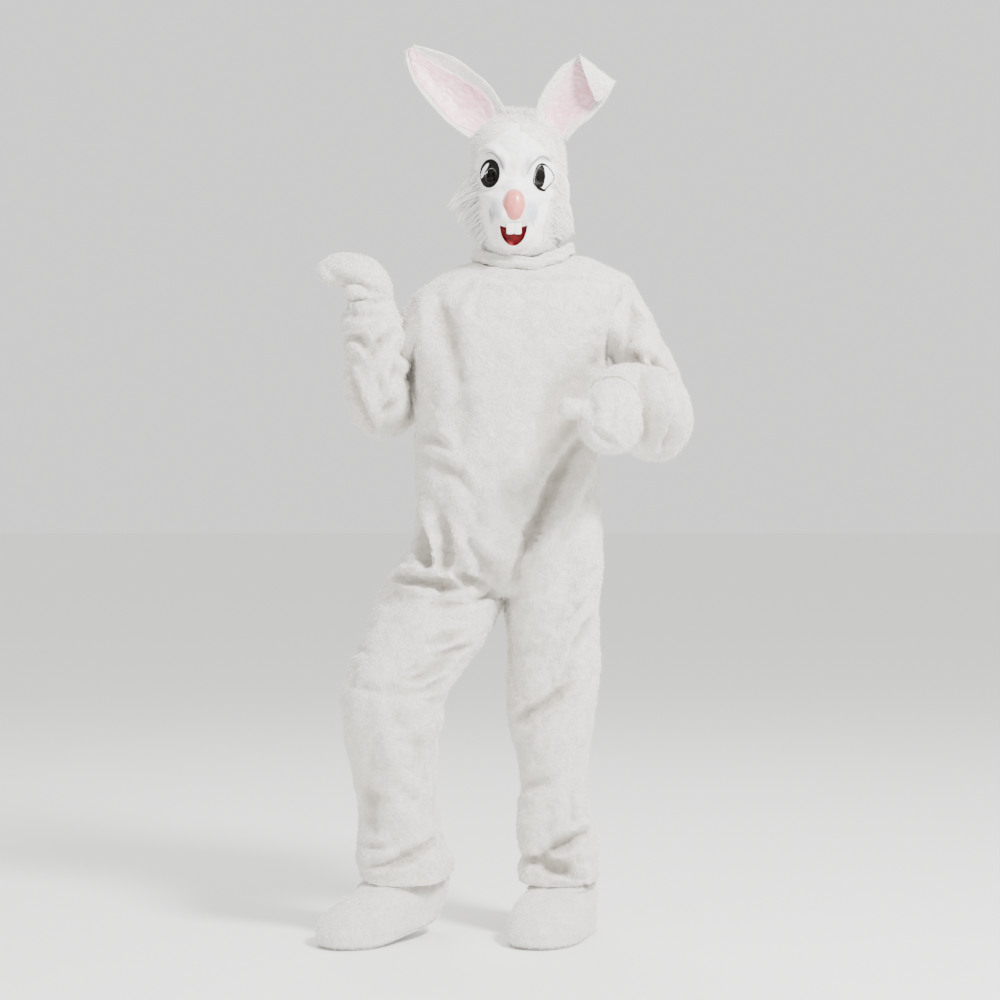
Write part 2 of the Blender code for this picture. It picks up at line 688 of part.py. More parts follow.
FACE_RELIEF = table(
    "facing x0 z0 x1 z1 depth width",
    [
        (-1, -0.066, 0.224, -0.036, 0.221, 0.006, 0.009),      # right brow
        (-1, -0.036, 0.221, -0.015, 0.178, 0.007, 0.009),
        (-1, 0.014, 0.176, 0.032, 0.205, 0.007, 0.009),        # left brow
        (-1, 0.032, 0.205, 0.070, 0.214, 0.005, 0.009),
        (-1, -0.054, 0.190, -0.054, 0.155, 0.003, 0.020),      # eyeballs
        (-1, 0.055, 0.185, 0.055, 0.155, 0.003, 0.020),
        (-1, -0.076, 0.150, -0.036, 0.136, -0.005, 0.008),     # under the eyes
        (-1, 0.036, 0.136, 0.076, 0.150, -0.005, 0.008),
        (-1, -0.004, 0.160, -0.004, 0.135, 0.005, 0.013),      # bridge of the nose
        (-1, -0.038, 0.100, -0.026, 0.078, 0.011, 0.017),      # muzzle
        (-1, 0.030, 0.100, 0.018, 0.078, 0.011, 0.017),
        (-1, -0.062, 0.120, -0.052, 0.080, -0.005, 0.007),     # creases beside it
        (-1, 0.054, 0.120, 0.044, 0.080, -0.005, 0.007),
        (-1, -0.068, 0.100, -0.062, 0.070, 0.005, 0.014),      # cheeks
        (-1, 0.062, 0.100, 0.056, 0.070, 0.005, 0.014),
        (-1, -0.018, 0.010, 0.008, 0.010, 0.006, 0.014),       # chin
    ],
)


def head_positions():
    """Positions in the head table of the mesh's rows, from the neck up."""
    face = [CHIN + i / 2 for i in range(2 * (HAIRLINE - CHIN))]
    return [0.0, 1.0, *face, 9.0, 9.5, 10.0, 10.5, 11.0]


def head_point(position, i):
    """A point of the head. i runs round from the face's left edge, by the front, to the back."""
    ring = table_row(HEAD, position)
    edge = math.radians(ring["edge"])
    if i <= FACE_COLUMNS:
        angle = -math.pi / 2 + edge * (1 - 2 * i / FACE_COLUMNS)
    else:
        angle = -math.pi / 2 - edge - (2 * math.pi - 2 * edge) * (i - FACE_COLUMNS) / HOOD_COLUMNS
    point = ring_point(ring, angle)
    point[0] += FACE_TURN * max(-math.sin(angle), 0) ** 2 * smooth((ring["zf"] + 0.01) / 0.04)
    return point


def head_sheet():
    sheet = Sheet()
    positions = head_positions()
    count = FACE_COLUMNS + HOOD_COLUMNS
    rows = [[sheet.add((row, i), head_point(p, i)) for i in range(count)] for row, p in enumerate(positions)]
    start, end = positions.index(CHIN), positions.index(HAIRLINE)
    crown = [sheet.add("crown", CROWN)] * count
    sheet.grid("mask_hood", rows[: start + 1], flip=True, closed=True)
    sheet.grid("mask_face", [row[: FACE_COLUMNS + 1] for row in rows[start : end + 1]], flip=True)
    sheet.grid("mask_hood", [row[FACE_COLUMNS:] + row[:1] for row in rows[start : end + 1]], flip=True)
    sheet.grid("mask_hood", rows[end:] + [crown], flip=True, closed=True)
    sheet.displace(lambda p, n: fold_height(FACE_RELIEF, p, n))
    return sheet


def front_of(tree, x, z):
    """(y, normal) of a surface straight behind a point in front of it."""
    place, normal, _, _ = tree.ray_cast(Vector((x, -1.0, z)), Vector((0, 1, 0)))
    return place.y, normal


# Holes through the face, as centre and half sizes. The eye holes are the pupils.

EYE_HOLES = table(
    "x z wide high",
    [
        (-0.0515, 0.1665, 0.0120, 0.0155),     # right
        (0.0500, 0.1670, 0.0095, 0.0145),      # left
    ],
)
MOUTH = {"x": -0.006, "corner_z": 0.063, "wide": 0.028, "drop": 0.041, "lip_z": 0.057, "curl": 0.006}


def ellipse(centre, wide, high, count=16):
    turns = np.arange(count) * 2 * math.pi / count
    return np.stack([centre[0] + wide * np.cos(turns), centre[1] + high * np.sin(turns)], axis=1)


def mouth_outline(scale=1.0, count=10):
    """The open mouth: a deep lower lip, and an upper lip that curls up to the corners."""
    u = np.linspace(-1, 1, count)
    lower = MOUTH["corner_z"] - MOUTH["drop"] * np.sqrt(1 - u**2)
    upper = MOUTH["lip_z"] + MOUTH["curl"] * u**2
    x = MOUTH["x"] + MOUTH["wide"] * u
    outline = np.vstack([np.stack([x, lower], axis=1), np.stack([x, upper], axis=1)[-2:0:-1]])
    middle = np.array([MOUTH["x"], MOUTH["lip_z"] - MOUTH["drop"] * 0.35])
    return middle + (outline - middle) * scale


def prism(outline, near, far):
    """(points, faces) of an outline in X and Z, drawn out along Y."""
    count = len(outline)
    points = [(x, y, z) for y in (near, far) for x, z in outline]
    sides = [[i, (i + 1) % count, (i + 1) % count + count, i + count] for i in range(count)]
    return np.array(points), [list(range(count))[::-1], list(range(count, 2 * count)), *sides]


def face_out(target):
    """Turns the faces of a closed mesh outwards."""
    mesh = bmesh.new()
    mesh.from_mesh(target.data)
    bmesh.ops.recalc_face_normals(mesh, faces=mesh.faces)
    mesh.to_mesh(target.data)
    mesh.free()


def make_face(sheet, parts, cutters):
    face = new_object("mask_face", sheet.panel_wall("mask_face", LATEX), WHITE_LATEX, parts)
    outlines = {"mouth_cut": mouth_outline()}
    for name, hole in zip(("right_eye_cut", "left_eye_cut"), lines_of(EYE_HOLES)):
        outlines[name] = ellipse((hole["x"], hole["z"]), hole["wide"], hole["high"])
    for name, outline in outlines.items():
        cutter = helper(name, prism(outline, CUTTER_FRONT, CUTTER_BACK), cutters)
        face_out(cutter)
        apply_boolean(face, cutter)


NOSE = {"x": -0.0042, "z": 0.1015, "wide": 0.0235, "high": 0.0345, "deep": 0.024, "taper": 0.35, "sink": 0.004}


def make_nose(tree, form, parts, cutters):
    """An egg, its small end down, cut to the face behind it."""
    y, _ = front_of(tree, NOSE["x"], NOSE["z"])
    mesh = bmesh.new()
    bmesh.ops.create_uvsphere(mesh, u_segments=16, v_segments=10, radius=1.0)
    for vertex in mesh.verts:
        narrow = 1 + NOSE["taper"] * min(vertex.co.z, 0.25)
        vertex.co.x *= NOSE["wide"] * narrow
        vertex.co.y *= NOSE["deep"] * narrow
        vertex.co.z *= NOSE["high"]
    mesh.transform(Matrix.Translation((NOSE["x"], y + NOSE["sink"], NOSE["z"])))
    points = np.array([v.co[:] for v in mesh.verts])
    faces = [[v.index for v in f.verts] for f in mesh.faces]
    mesh.free()
    nose = new_object("nose", (points, faces), PINK_LATEX, parts)
    apply_boolean(nose, helper("nose_cut", form, cutters))


TEETH = {"x0": -0.0214, "x1": 0.0113, "top": 0.0655, "bottom": 0.0425, "thick": 0.004, "notch": 0.004}


def make_teeth(tree, parts):
    """Two front teeth on one plate, which hangs from the upper lip in front of the mouth."""
    sheet = Sheet()
    rows = []
    columns = 8
    lip_y = front_of(tree, (TEETH["x0"] + TEETH["x1"]) / 2, TEETH["top"])[0]
    for v in (1.0, 0.66, 0.33, 0.0):
        row = []
        for i in range(columns + 1):
            u = 2 * i / columns - 1
            x = TEETH["x0"] + (TEETH["x1"] - TEETH["x0"]) * i / columns
            foot = TEETH["bottom"] + TEETH["notch"] * (abs(abs(u) - 0.5) * 2) ** 2
            z = foot + (TEETH["top"] - foot) * v
            y = min(front_of(tree, x, z)[0], lip_y) - SEAM_GAP * 4 - TEETH["thick"] + 0.001 * u * u
            row.append(sheet.add((v, i), (x, y, z)))
        rows.append(row)
    sheet.grid("teeth", rows, flip=True)
    points, faces = sheet.panel_wall("teeth", TEETH["thick"])
    new_object("teeth", (points, faces), TOOTH, parts)


POCKET_RINGS = table("scale depth", [(1.22, 0.0), (0.95, 0.006), (0.60, 0.013), (0.25, 0.016)])


def make_mouth(tree, parts):
    """The red inside of the mouth: a shallow bowl behind the opening."""
    sheet = Sheet()
    rows = []
    for line in lines_of(POCKET_RINGS):
        row = []
        for i, (x, z) in enumerate(mouth_outline(line["scale"], 9)):
            y, normal = front_of(tree, x, z)
            behind = (LATEX + SEAM_GAP) / max(-normal.y, 0.5) + MOUTH_CLEAR
            row.append(sheet.add((line["scale"], i), (x, y + behind + line["depth"], z)))
        rows.append(row)
    middle = np.mean([sheet.points[n] for n in rows[-1]], axis=0)
    rows.append([sheet.add("middle", middle)] * len(rows[0]))
    sheet.grid("mouth_lining", rows, closed=True)
    new_object("mouth_lining", sheet.panel_wall("mouth_lining", SATIN), RED_LATEX, parts)


# Ears: rows across each ear from its root to its tip, as its lower and upper edge. ahead is how far the row
# stands in front of the ear's plane, cup how deep it is scooped, and pink0 to pink1 the lining's share of it.

RIGHT_EAR = table(
    "x0 z0 x1 z1 ahead cup pink0 pink1",
    [
        (-0.0798, 0.2499, -0.0084, 0.2940, 0.000, 0.012, 0.25, 0.62),
        (-0.1302, 0.2835, -0.0336, 0.3339, 0.002, 0.022, 0.08, 0.87),
        (-0.1596, 0.3108, -0.0588, 0.3696, 0.004, 0.024, 0.07, 0.86),
        (-0.1869, 0.3423, -0.0882, 0.3948, 0.004, 0.022, 0.08, 0.79),
        (-0.2121, 0.3759, -0.1302, 0.4263, 0.003, 0.016, 0.07, 0.70),
        (-0.2289, 0.4179, -0.1743, 0.4431, 0.001, 0.008, 0.12, 0.58),
        (-0.2320, 0.4440, -0.2150, 0.4540, 0.000, 0.002, 0.25, 0.50),
    ],
)
LEFT_EAR = table(
    "x0 z0 x1 z1 ahead cup pink0 pink1",
    [
        (0.0525, 0.2688, 0.1050, 0.2562, 0.000, 0.008, 0.25, 0.80),
        (0.0441, 0.3192, 0.1260, 0.2835, 0.002, 0.018, 0.20, 0.86),
        (0.0567, 0.3528, 0.1554, 0.3066, 0.004, 0.022, 0.17, 0.92),
        (0.0756, 0.3833, 0.1785, 0.3318, 0.004, 0.018, 0.15, 0.90),
        (0.0966, 0.4095, 0.1953, 0.3549, 0.002, 0.010, 0.13, 0.90),
        (0.1239, 0.4274, 0.2016, 0.3717, 0.000, 0.003, 0.12, 0.90),
        (0.1302, 0.4310, 0.2037, 0.3735, 0.006, 0.000, 0.15, 0.85),    # the tip folds over to the front
        (0.1344, 0.4158, 0.1995, 0.3591, 0.015, 0.000, 0.15, 0.85),
        (0.1470, 0.3822, 0.1869, 0.3423, 0.018, 0.000, 0.15, 0.85),
        (0.1659, 0.3381, 0.1722, 0.3339, 0.017, 0.000, 0.15, 0.85),
    ],
)
LINING_COLUMNS = 3
LEFT_LINING_ROWS = 5    # the left lining ends where the tip folds


def ear_point(line, share):
    """A point across an ear's row, share of the way from its lower to its upper edge."""
    x = line["x0"] + (line["x1"] - line["x0"]) * share
    z = line["z0"] + (line["z1"] - line["z0"]) * share
    return np.array([x, line["cup"] * 4 * share * (1 - share) - line["ahead"], z])


def ear_shares(line):
    """Where an ear's columns are: its lower edge, those of the lining, and its upper edge."""
    low, high = line["pink0"], line["pink1"]
    return [0.0, *(low + (high - low) * i / LINING_COLUMNS for i in range(LINING_COLUMNS + 1)), 1.0]


def make_ear(side, form, parts, cutters):
    ear = LEFT_EAR if side > 0 else RIGHT_EAR
    word = "left" if side > 0 else "right"
    outer, lining = Sheet(), Sheet()
    rows = []
    for position in np.arange(0, len(ear["x0"]) - 0.9, 0.5):
        line = table_row(ear, position)
        rows.append([outer.add((position, i), ear_point(line, s)) for i, s in enumerate(ear_shares(line))])
    outer.grid("ear", rows, flip=side > 0)
    cloth = new_object(f"ear_{word}", outer.panel_wall("ear", HOOD_PLUSH), WHITE_FUR, parts)
    normals = outer.normals()
    lined = []
    for row in rows if side < 0 else rows[: 2 * LEFT_LINING_ROWS + 1]:
        lined.append([lining.add(n, outer.points[n] + normals[n] * (SEAM_GAP + SATIN)) for n in row[1:-1]])
    lining.grid("lining", lined, flip=side > 0)
    satin = new_object(f"ear_lining_{word}", lining.panel_wall("lining", SATIN), PINK_SATIN, parts)
    cutter = helper(f"ear_{word}_cut", form, cutters)
    apply_boolean(cloth, cutter)
    apply_boolean(satin, cutter)


# Long fur on the cheeks, as locks rooted in a strip of cloth. root is how far up the strip, from 0 to 1,
# and the rest is where the lock's tip is, and its thickness at the root.

RIGHT_LOCKS = table(
    "root x y z thick",
    [
        (0.98, -0.098, -0.030, 0.150, 0.006),
        (0.88, -0.118, -0.032, 0.128, 0.007),
        (0.80, -0.144, -0.030, 0.1095, 0.010),
        (0.72, -0.136, -0.036, 0.101, 0.009),
        (0.64, -0.126, -0.028, 0.088, 0.010),
        (0.55, -0.120, -0.038, 0.078, 0.009),
        (0.46, -0.112, -0.030, 0.069, 0.009),
        (0.37, -0.105, -0.040, 0.058, 0.009),
        (0.28, -0.098, -0.032, 0.049, 0.008),
        (0.19, -0.090, -0.040, 0.040, 0.008),
        (0.10, -0.084, -0.036, 0.036, 0.007),
        (0.03, -0.078, -0.046, 0.033, 0.006),
    ],
)
LEFT_LOCKS = table(
    "root x y z thick",
    [
        (0.92, 0.105, -0.026, 0.128, 0.006),
        (0.80, 0.108, -0.030, 0.106, 0.008),
        (0.70, 0.111, -0.024, 0.090, 0.008),
        (0.60, 0.116, -0.028, 0.074, 0.009),
        (0.50, 0.119, -0.022, 0.064, 0.009),
        (0.40, 0.117, -0.030, 0.056, 0.009),
        (0.30, 0.112, -0.026, 0.052, 0.008),
        (0.20, 0.106, -0.036, 0.048, 0.008),
        (0.10, 0.100, -0.034, 0.046, 0.007),
        (0.03, 0.094, -0.042, 0.045, 0.006),
    ],
)
LOCK_STRIP = {"low": 2.8, "high": 6.2, "angle": 22, "spread": 5, "thick": 0.002, "clear": 0.0012}


def strip_point(side, share, turn):
    """A point of the head under a cheek's strip, turn degrees further to the back."""
    ring = table_row(HEAD, LOCK_STRIP["low"] + (LOCK_STRIP["high"] - LOCK_STRIP["low"]) * share)
    angle = math.radians(LOCK_STRIP["angle"] - turn)
    return ring_point(ring, -angle if side > 0 else angle - math.pi)


def lock_mesh(root, normal, tip, thick):
    """A tapered lock of four sides that leaves the strip and bends down to its tip."""
    middle = (root + tip) / 2 + normal * 0.004
    points = []
    for place, width in ((root, thick), (middle, thick * 0.7)):
        along = unit(tip - root)
        across = unit(np.cross(along, normal)) * width / 2
        over = unit(np.cross(across, along)) * width / 2
        points += [place + across, place + over, place - across, place - over]
    points.append(tip)
    sides = [[i, (i + 1) % 4, (i + 1) % 4 + 4, i + 4] for i in range(4)]
    ends = [[i + 4, (i + 1) % 4 + 4, 8] for i in range(4)]
    return np.array(points), [[3, 2, 1, 0], *sides, *ends]


def make_locks(side, tree, parts, cutters):
    word, locks = ("left", LEFT_LOCKS) if side > 0 else ("right", RIGHT_LOCKS)
    sheet = Sheet()
    rows = []
    for at in range(11):
        row = []
        for turn in (-LOCK_STRIP["spread"], 0, LOCK_STRIP["spread"]):
            near, normal, _, _ = tree.find_nearest(Vector(strip_point(side, at / 10, turn)))
            place = np.array(near + normal * (LOCK_STRIP["clear"] + LOCK_STRIP["thick"]))
            row.append(sheet.add((at, turn), place))
        rows.append(row)
    sheet.grid("strip", rows, flip=side < 0)
    strip = new_object(f"cheek_fur_{word}", sheet.panel_wall("strip", LOCK_STRIP["thick"]), WHITE_FUR, parts)
    for number, lock in enumerate(lines_of(locks)):
        near, normal, _, _ = tree.find_nearest(Vector(strip_point(side, lock["root"], 0)))
        root = np.array(near + normal * (LOCK_STRIP["clear"] + 0.0005 + lock["thick"] / 2))
        tip = np.array([lock["x"], lock["y"], lock["z"]])
        piece = helper(f"lock_{word}_{number}", lock_mesh(root, np.array(normal), tip, lock["thick"]), cutters)
        face_out(piece)
        apply_boolean(strip, piece, "UNION")


def make_mask(parts, cutters):
    sheet = head_sheet()
    tree = sheet.tree()
    form = sheet.form(SEAM_GAP)
    make_face(sheet, parts, cutters)
    new_object("mask_hood", sheet.panel_wall("mask_hood", HOOD_PLUSH), WHITE_FUR, parts)
    make_nose(tree, form, parts, cutters)
    make_teeth(tree, parts)
    make_mouth(tree, parts)
    for side in (1, -1):
        make_ear(side, form, parts, cutters)
        make_locks(side, tree, parts, cutters)


# Mitts: a pouch and its thumb, each as rings along a line, from the wrist to the tip.

LEFT_MITT = table(
    "x y z across deep",
    [
        (0.200, -0.222, -0.303, 0.050, 0.052),
        (0.194, -0.250, -0.311, 0.052, 0.056),
        (0.187, -0.276, -0.328, 0.048, 0.060),
        (0.182, -0.289, -0.353, 0.042, 0.061),
        (0.178, -0.290, -0.378, 0.036, 0.056),
        (0.174, -0.287, -0.394, 0.026, 0.042),
        (0.172, -0.284, -0.404, 0.012, 0.020),
    ],
)
LEFT_THUMB = table(
    "x y z across deep",
    [
        (0.170, -0.270, -0.320, 0.018, 0.018),
        (0.140, -0.288, -0.322, 0.019, 0.019),
        (0.110, -0.296, -0.319, 0.019, 0.020),
        (0.092, -0.298, -0.318, 0.018, 0.018),
        (0.084, -0.298, -0.318, 0.009, 0.009),
    ],
)
RIGHT_MITT = table(
    "x y z across deep",
    [
        (-0.308, -0.071, -0.122, 0.042, 0.042),
        (-0.303, -0.072, -0.090, 0.041, 0.0447),
        (-0.296, -0.074, -0.062, 0.041, 0.040),
        (-0.309, -0.077, -0.037, 0.042, 0.036),
        (-0.338, -0.081, -0.025, 0.043, 0.036),
        (-0.370, -0.083, -0.026, 0.041, 0.034),
        (-0.397, -0.084, -0.031, 0.030, 0.024),
        (-0.408, -0.084, -0.034, 0.013, 0.011),
    ],
)
RIGHT_THUMB = table(
    "x y z across deep",
    [
        (-0.296, -0.080, -0.078, 0.018, 0.015),
        (-0.315, -0.105, -0.079, 0.018, 0.015),
        (-0.334, -0.122, -0.073, 0.016, 0.014),
        (-0.346, -0.128, -0.069, 0.008, 0.007),
    ],
)


def pouch(rows, steps, shrink=0.0, ahead=0.0):
    """A closed form through a table of rings, shrunk all round, with its start drawn out by ahead."""
    line = np.stack([rows["x"], rows["y"], rows["z"]], axis=1)
    line[0] += unit(line[0] - line[1]) * ahead
    line[-1] -= unit(line[-1] - line[-2]) * shrink
    frames = carried_frames(line, np.array([0.0, -1.0, 0.3]))
    sheet = Sheet()
    rings = []
    turns = np.arange(MITT_RING) * 2 * math.pi / MITT_RING
    for i, (front, out) in enumerate(frames):
        across, deep = max(rows["across"][i] - shrink, 0.002), max(rows["deep"][i] - shrink, 0.002)
        rings.append(line[i] + np.outer(np.cos(turns), out) * deep + np.outer(np.sin(turns), front) * across)
    flat = np.array(rings).reshape(len(rings), -1)
    numbers = []
    count = int(steps * (len(rings) - 1))
    for number in range(count + 1):
        ring = spline(flat, number * (len(rings) - 1) / count).reshape(-1, 3)
        numbers.append([sheet.add((number, i), p) for i, p in enumerate(ring)])
    first, last = numbers[0], numbers[-1]
    start = sheet.add("start", np.mean([sheet.points[n] for n in first], axis=0))
    end = sheet.add("end", np.mean([sheet.points[n] for n in last], axis=0) + unit(line[-1] - line[-2]) * 0.003)
    sheet.grid("pouch", [[start] * MITT_RING, *numbers, [end] * MITT_RING], closed=True)
    return np.array(sheet.points), sheet.faces


def make_mitt(word, hand, thumb, parts, cutters):
    mitt = new_object(f"mitt_{word}", pouch(hand, HAND_STEPS), WHITE_PLUSH, parts)
    face_out(mitt)
    outer_thumb = helper(f"thumb_{word}", pouch(thumb, 1), cutters)
    face_out(outer_thumb)
    apply_boolean(mitt, outer_thumb, "UNION")
    for name, form, steps, ahead in (("hand", hand, HAND_STEPS, 0.02), ("thumb", thumb, 1, 0.0)):
        hollow = helper(f"{name}_hollow_{word}", pouch(form, steps, PLUSH, ahead), cutters)
        face_out(hollow)
        apply_boolean(mitt, hollow)


# Shoe covers: outlines of the foot at heights above the floor, measured from the heel along the foot.

SHOE = table(
    "height back front wide",
    [
        (0.0049, -0.012, 0.294, 0.075),
        (0.020, -0.020, 0.300, 0.080),
        (0.045, -0.032, 0.290, 0.081),     # the heel bags out behind the foot
        (0.070, -0.036, 0.262, 0.079),
        (0.090, -0.030, 0.226, 0.071),
        (0.106, -0.006, 0.1805, 0.060),
        (0.120, 0.012, 0.150, 0.053),
        (0.134, 0.014, 0.124, 0.047),
        (0.150, 0.016, 0.116, 0.045),      # ankle
    ],
)
SOLE = 0.0045
SHOE_RING = 18
SHOE_STEPS = 8

# Where each heel is, which way the foot points in degrees from straight ahead, and the angle that lifts the heel.

FEET = {
    "left": {"x": 0.128, "y": 0.086, "turn": 20, "lift": 0},
    "right": {"x": -0.186, "y": 0.036, "turn": 42, "lift": 8},
}


def shoe_outline(ring, count=SHOE_RING):
    """Round one outline of the foot, in the foot's own frame: forward, to its left, up."""
    middle, half = (ring["front"] + ring["back"]) / 2, (ring["front"] - ring["back"]) / 2
    points = []
    for i in range(count):
        turn = 2 * math.pi * i / count
        forward = middle + half * signed_power(math.cos(turn), 0.85)
        toe = smooth((forward - 0.12) / 0.12) * 0.9 + 0.1
        narrow = 0.86 + 0.14 * toe if ring["front"] > 0.2 else 1.0
        points.append((forward, ring["wide"] * narrow * signed_power(math.sin(turn), 0.85), ring["height"]))
    return points


def foot_place(foot, forward, across, up):
    """A point of the foot's frame in the world, tipped about the toe where the heel is lifted."""
    ball = 0.235
    lift = math.radians(foot["lift"])
    tipped = forward - ball
    along = ball + tipped * math.cos(lift) - up * math.sin(lift) * (1 if tipped < 0 else 0)
    rise = up - min(tipped, 0) * math.sin(lift)
    turn = math.radians(foot["turn"])
    ahead = np.array([-math.sin(turn), -math.cos(turn)])
    left = np.array([math.cos(turn), -math.sin(turn)])
    place = np.array([foot["x"], foot["y"]]) + ahead * along + left * across
    return np.array([*place, FLOOR_Z + rise])


def make_shoe(word, foot, parts):
    sheet = Sheet()
    rows = []
    last = len(SHOE["height"]) - 1
    for number in range(SHOE_STEPS + 1):
        ring = table_row(SHOE, last * number / SHOE_STEPS)
        outline = shoe_outline(ring)
        rows.append([sheet.add((number, i), foot_place(foot, *p)) for i, p in enumerate(outline)])
    sheet.grid("upper", rows, closed=True)
    upper = new_object(f"shoe_cover_{word}", sheet.panel_wall("upper", PLUSH), WHITE_PLUSH, parts)
    face_out(upper)
    sole = Sheet()
    bottom = table_row(SHOE, 0)
    faces = []
    for up in (SOLE, 0.0):
        outline = shoe_outline(bottom)
        faces.append([sole.add((up, i), foot_place(foot, *p[:2], up)) for i, p in enumerate(outline)])
    top_middle = sole.add("top", foot_place(foot, 0.15, 0, SOLE))
    under_middle = sole.add("under", foot_place(foot, 0.15, 0, 0.0))
    sole.grid("sole", [[top_middle] * SHOE_RING, *faces, [under_middle] * SHOE_RING], closed=True)
    made = new_object(f"sole_{word}", (np.array(sole.points), sole.faces), WHITE_PLUSH, parts)
    face_out(made)


def main():
    for old in list(bpy.data.objects):
        bpy.data.objects.remove(old)
    parts = bpy.data.collections.new("bunny_costume")
    cutters = bpy.data.collections.new("cutters")
    bpy.context.scene.collection.children.link(parts)
    bpy.context.scene.collection.children.link(cutters)
    make_jumpsuit(parts)
    make_mask(parts, cutters)
    make_mitt("left", LEFT_MITT, LEFT_THUMB, parts, cutters)
    make_mitt("right", RIGHT_MITT, RIGHT_THUMB, parts, cutters)
    for word, foot in FEET.items():
        make_shoe(word, foot, parts)


main()
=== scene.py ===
"""Bunny costume, hollow, in the shape that it hangs in: its plush, fur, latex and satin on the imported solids.

Metres, +Z up, front towards -Y, its own left towards +X. left and right are the costume's own.
"""

import math

import bpy
import bmesh
import numpy as np
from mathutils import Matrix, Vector, noise
from mathutils.bvhtree import BVHTree


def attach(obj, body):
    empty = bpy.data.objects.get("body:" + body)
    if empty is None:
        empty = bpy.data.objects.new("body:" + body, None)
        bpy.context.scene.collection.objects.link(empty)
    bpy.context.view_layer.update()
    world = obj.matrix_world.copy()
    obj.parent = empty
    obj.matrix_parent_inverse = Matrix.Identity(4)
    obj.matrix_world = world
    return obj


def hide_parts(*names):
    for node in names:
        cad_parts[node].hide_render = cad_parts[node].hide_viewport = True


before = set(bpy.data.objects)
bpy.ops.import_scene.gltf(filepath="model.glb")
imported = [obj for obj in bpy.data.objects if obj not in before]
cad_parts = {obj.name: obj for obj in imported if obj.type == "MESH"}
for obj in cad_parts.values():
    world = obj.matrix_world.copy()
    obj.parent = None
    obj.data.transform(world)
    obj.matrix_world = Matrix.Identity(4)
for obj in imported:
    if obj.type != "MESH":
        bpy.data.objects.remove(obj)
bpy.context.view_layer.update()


# The front of the jumpsuit and its two backs: short white plush. The front is one piece with both leg fronts,
# each back has its leg, and they are sewn at the shoulders, sides and inseams. The cloth hangs from the
# shoulders in long folds, gathers at the raised thigh and bunches over the ankles.

PLUSH = 0.0032
QUARTER = 36            # columns in a quarter of the body, from the side seam to the centre
ARMHOLE_ROWS = 34
LEG_ROWS = 92
FORK_X, FORK_Z = -0.022, -0.706
BLEND_TOP, UNDERARM, SHOULDER, NECK = 2, 7, 10, 13
ARMHOLE_BITE = math.radians(36)
LEG_ROUND = 0.86
FULL_FOLD = 0.012       # how deep a fold lies where its colour attribute is 1; the attribute paints shade into the creases


def table(names, rows):
    """A table with named columns: {name: array of that column}."""
    return dict(zip(names.split(), np.array(rows, float).T, strict=True))


def curve_through(rows, position):
    """The Catmull-Rom curve through rows, read at a position from 0 to len(rows) - 1."""
    rows = np.asarray(rows, float)
    last = len(rows) - 1
    i = min(int(position), last - 1)
    t = position - i
    before, a, b, after = rows[max(i - 1, 0)], rows[i], rows[i + 1], rows[min(i + 2, last)]
    bend = (2 * before - 5 * a + 4 * b - after) * t * t + (3 * a - before - 3 * b + after) * t**3
    return 0.5 * (2 * a + (b - before) * t + bend)


def table_row(columns, position):
    """One line of a table, read between its lines: {name: value}."""
    values = curve_through(np.array(list(columns.values())).T, position)
    return dict(zip(columns, values, strict=True))


def lines_of(columns):
    """The table's lines, one dictionary each."""
    return [dict(zip(columns, line, strict=True)) for line in zip(*columns.values())]


def signed_power(value, power):
    return np.sign(value) * np.abs(value) ** power


def smooth(t):
    t = np.clip(t, 0.0, 1.0)
    return t * t * (3 - 2 * t)


def unit(vectors):
    vectors = np.asarray(vectors, float)
    return vectors / np.maximum(np.linalg.norm(vectors, axis=-1, keepdims=True), 1e-12)


def face_normals(points, faces):
    """The area-weighted normals of faces with four corners, two of which may be the same."""
    corners = points[faces]
    return np.cross(corners[:, 2] - corners[:, 0], corners[:, 3] - corners[:, 1])


def cloth_normals(points, faces):
    """Outward unit normals at the points."""
    found = np.zeros_like(points)
    across = face_normals(points, faces)
    for corner in range(4):
        np.add.at(found, faces[:, corner], across)
    return unit(found)


def cloth_edges(faces):
    """The directed edges that only one face has."""
    start, end = faces.reshape(-1), np.roll(faces, -1, axis=1).reshape(-1)
    kept = start != end
    start, end = start[kept].astype(np.int64), end[kept].astype(np.int64)
    size = faces.max() + 1
    lone = ~np.isin(start * size + end, end * size + start)
    return np.stack([start[lone], end[lone]], axis=1)


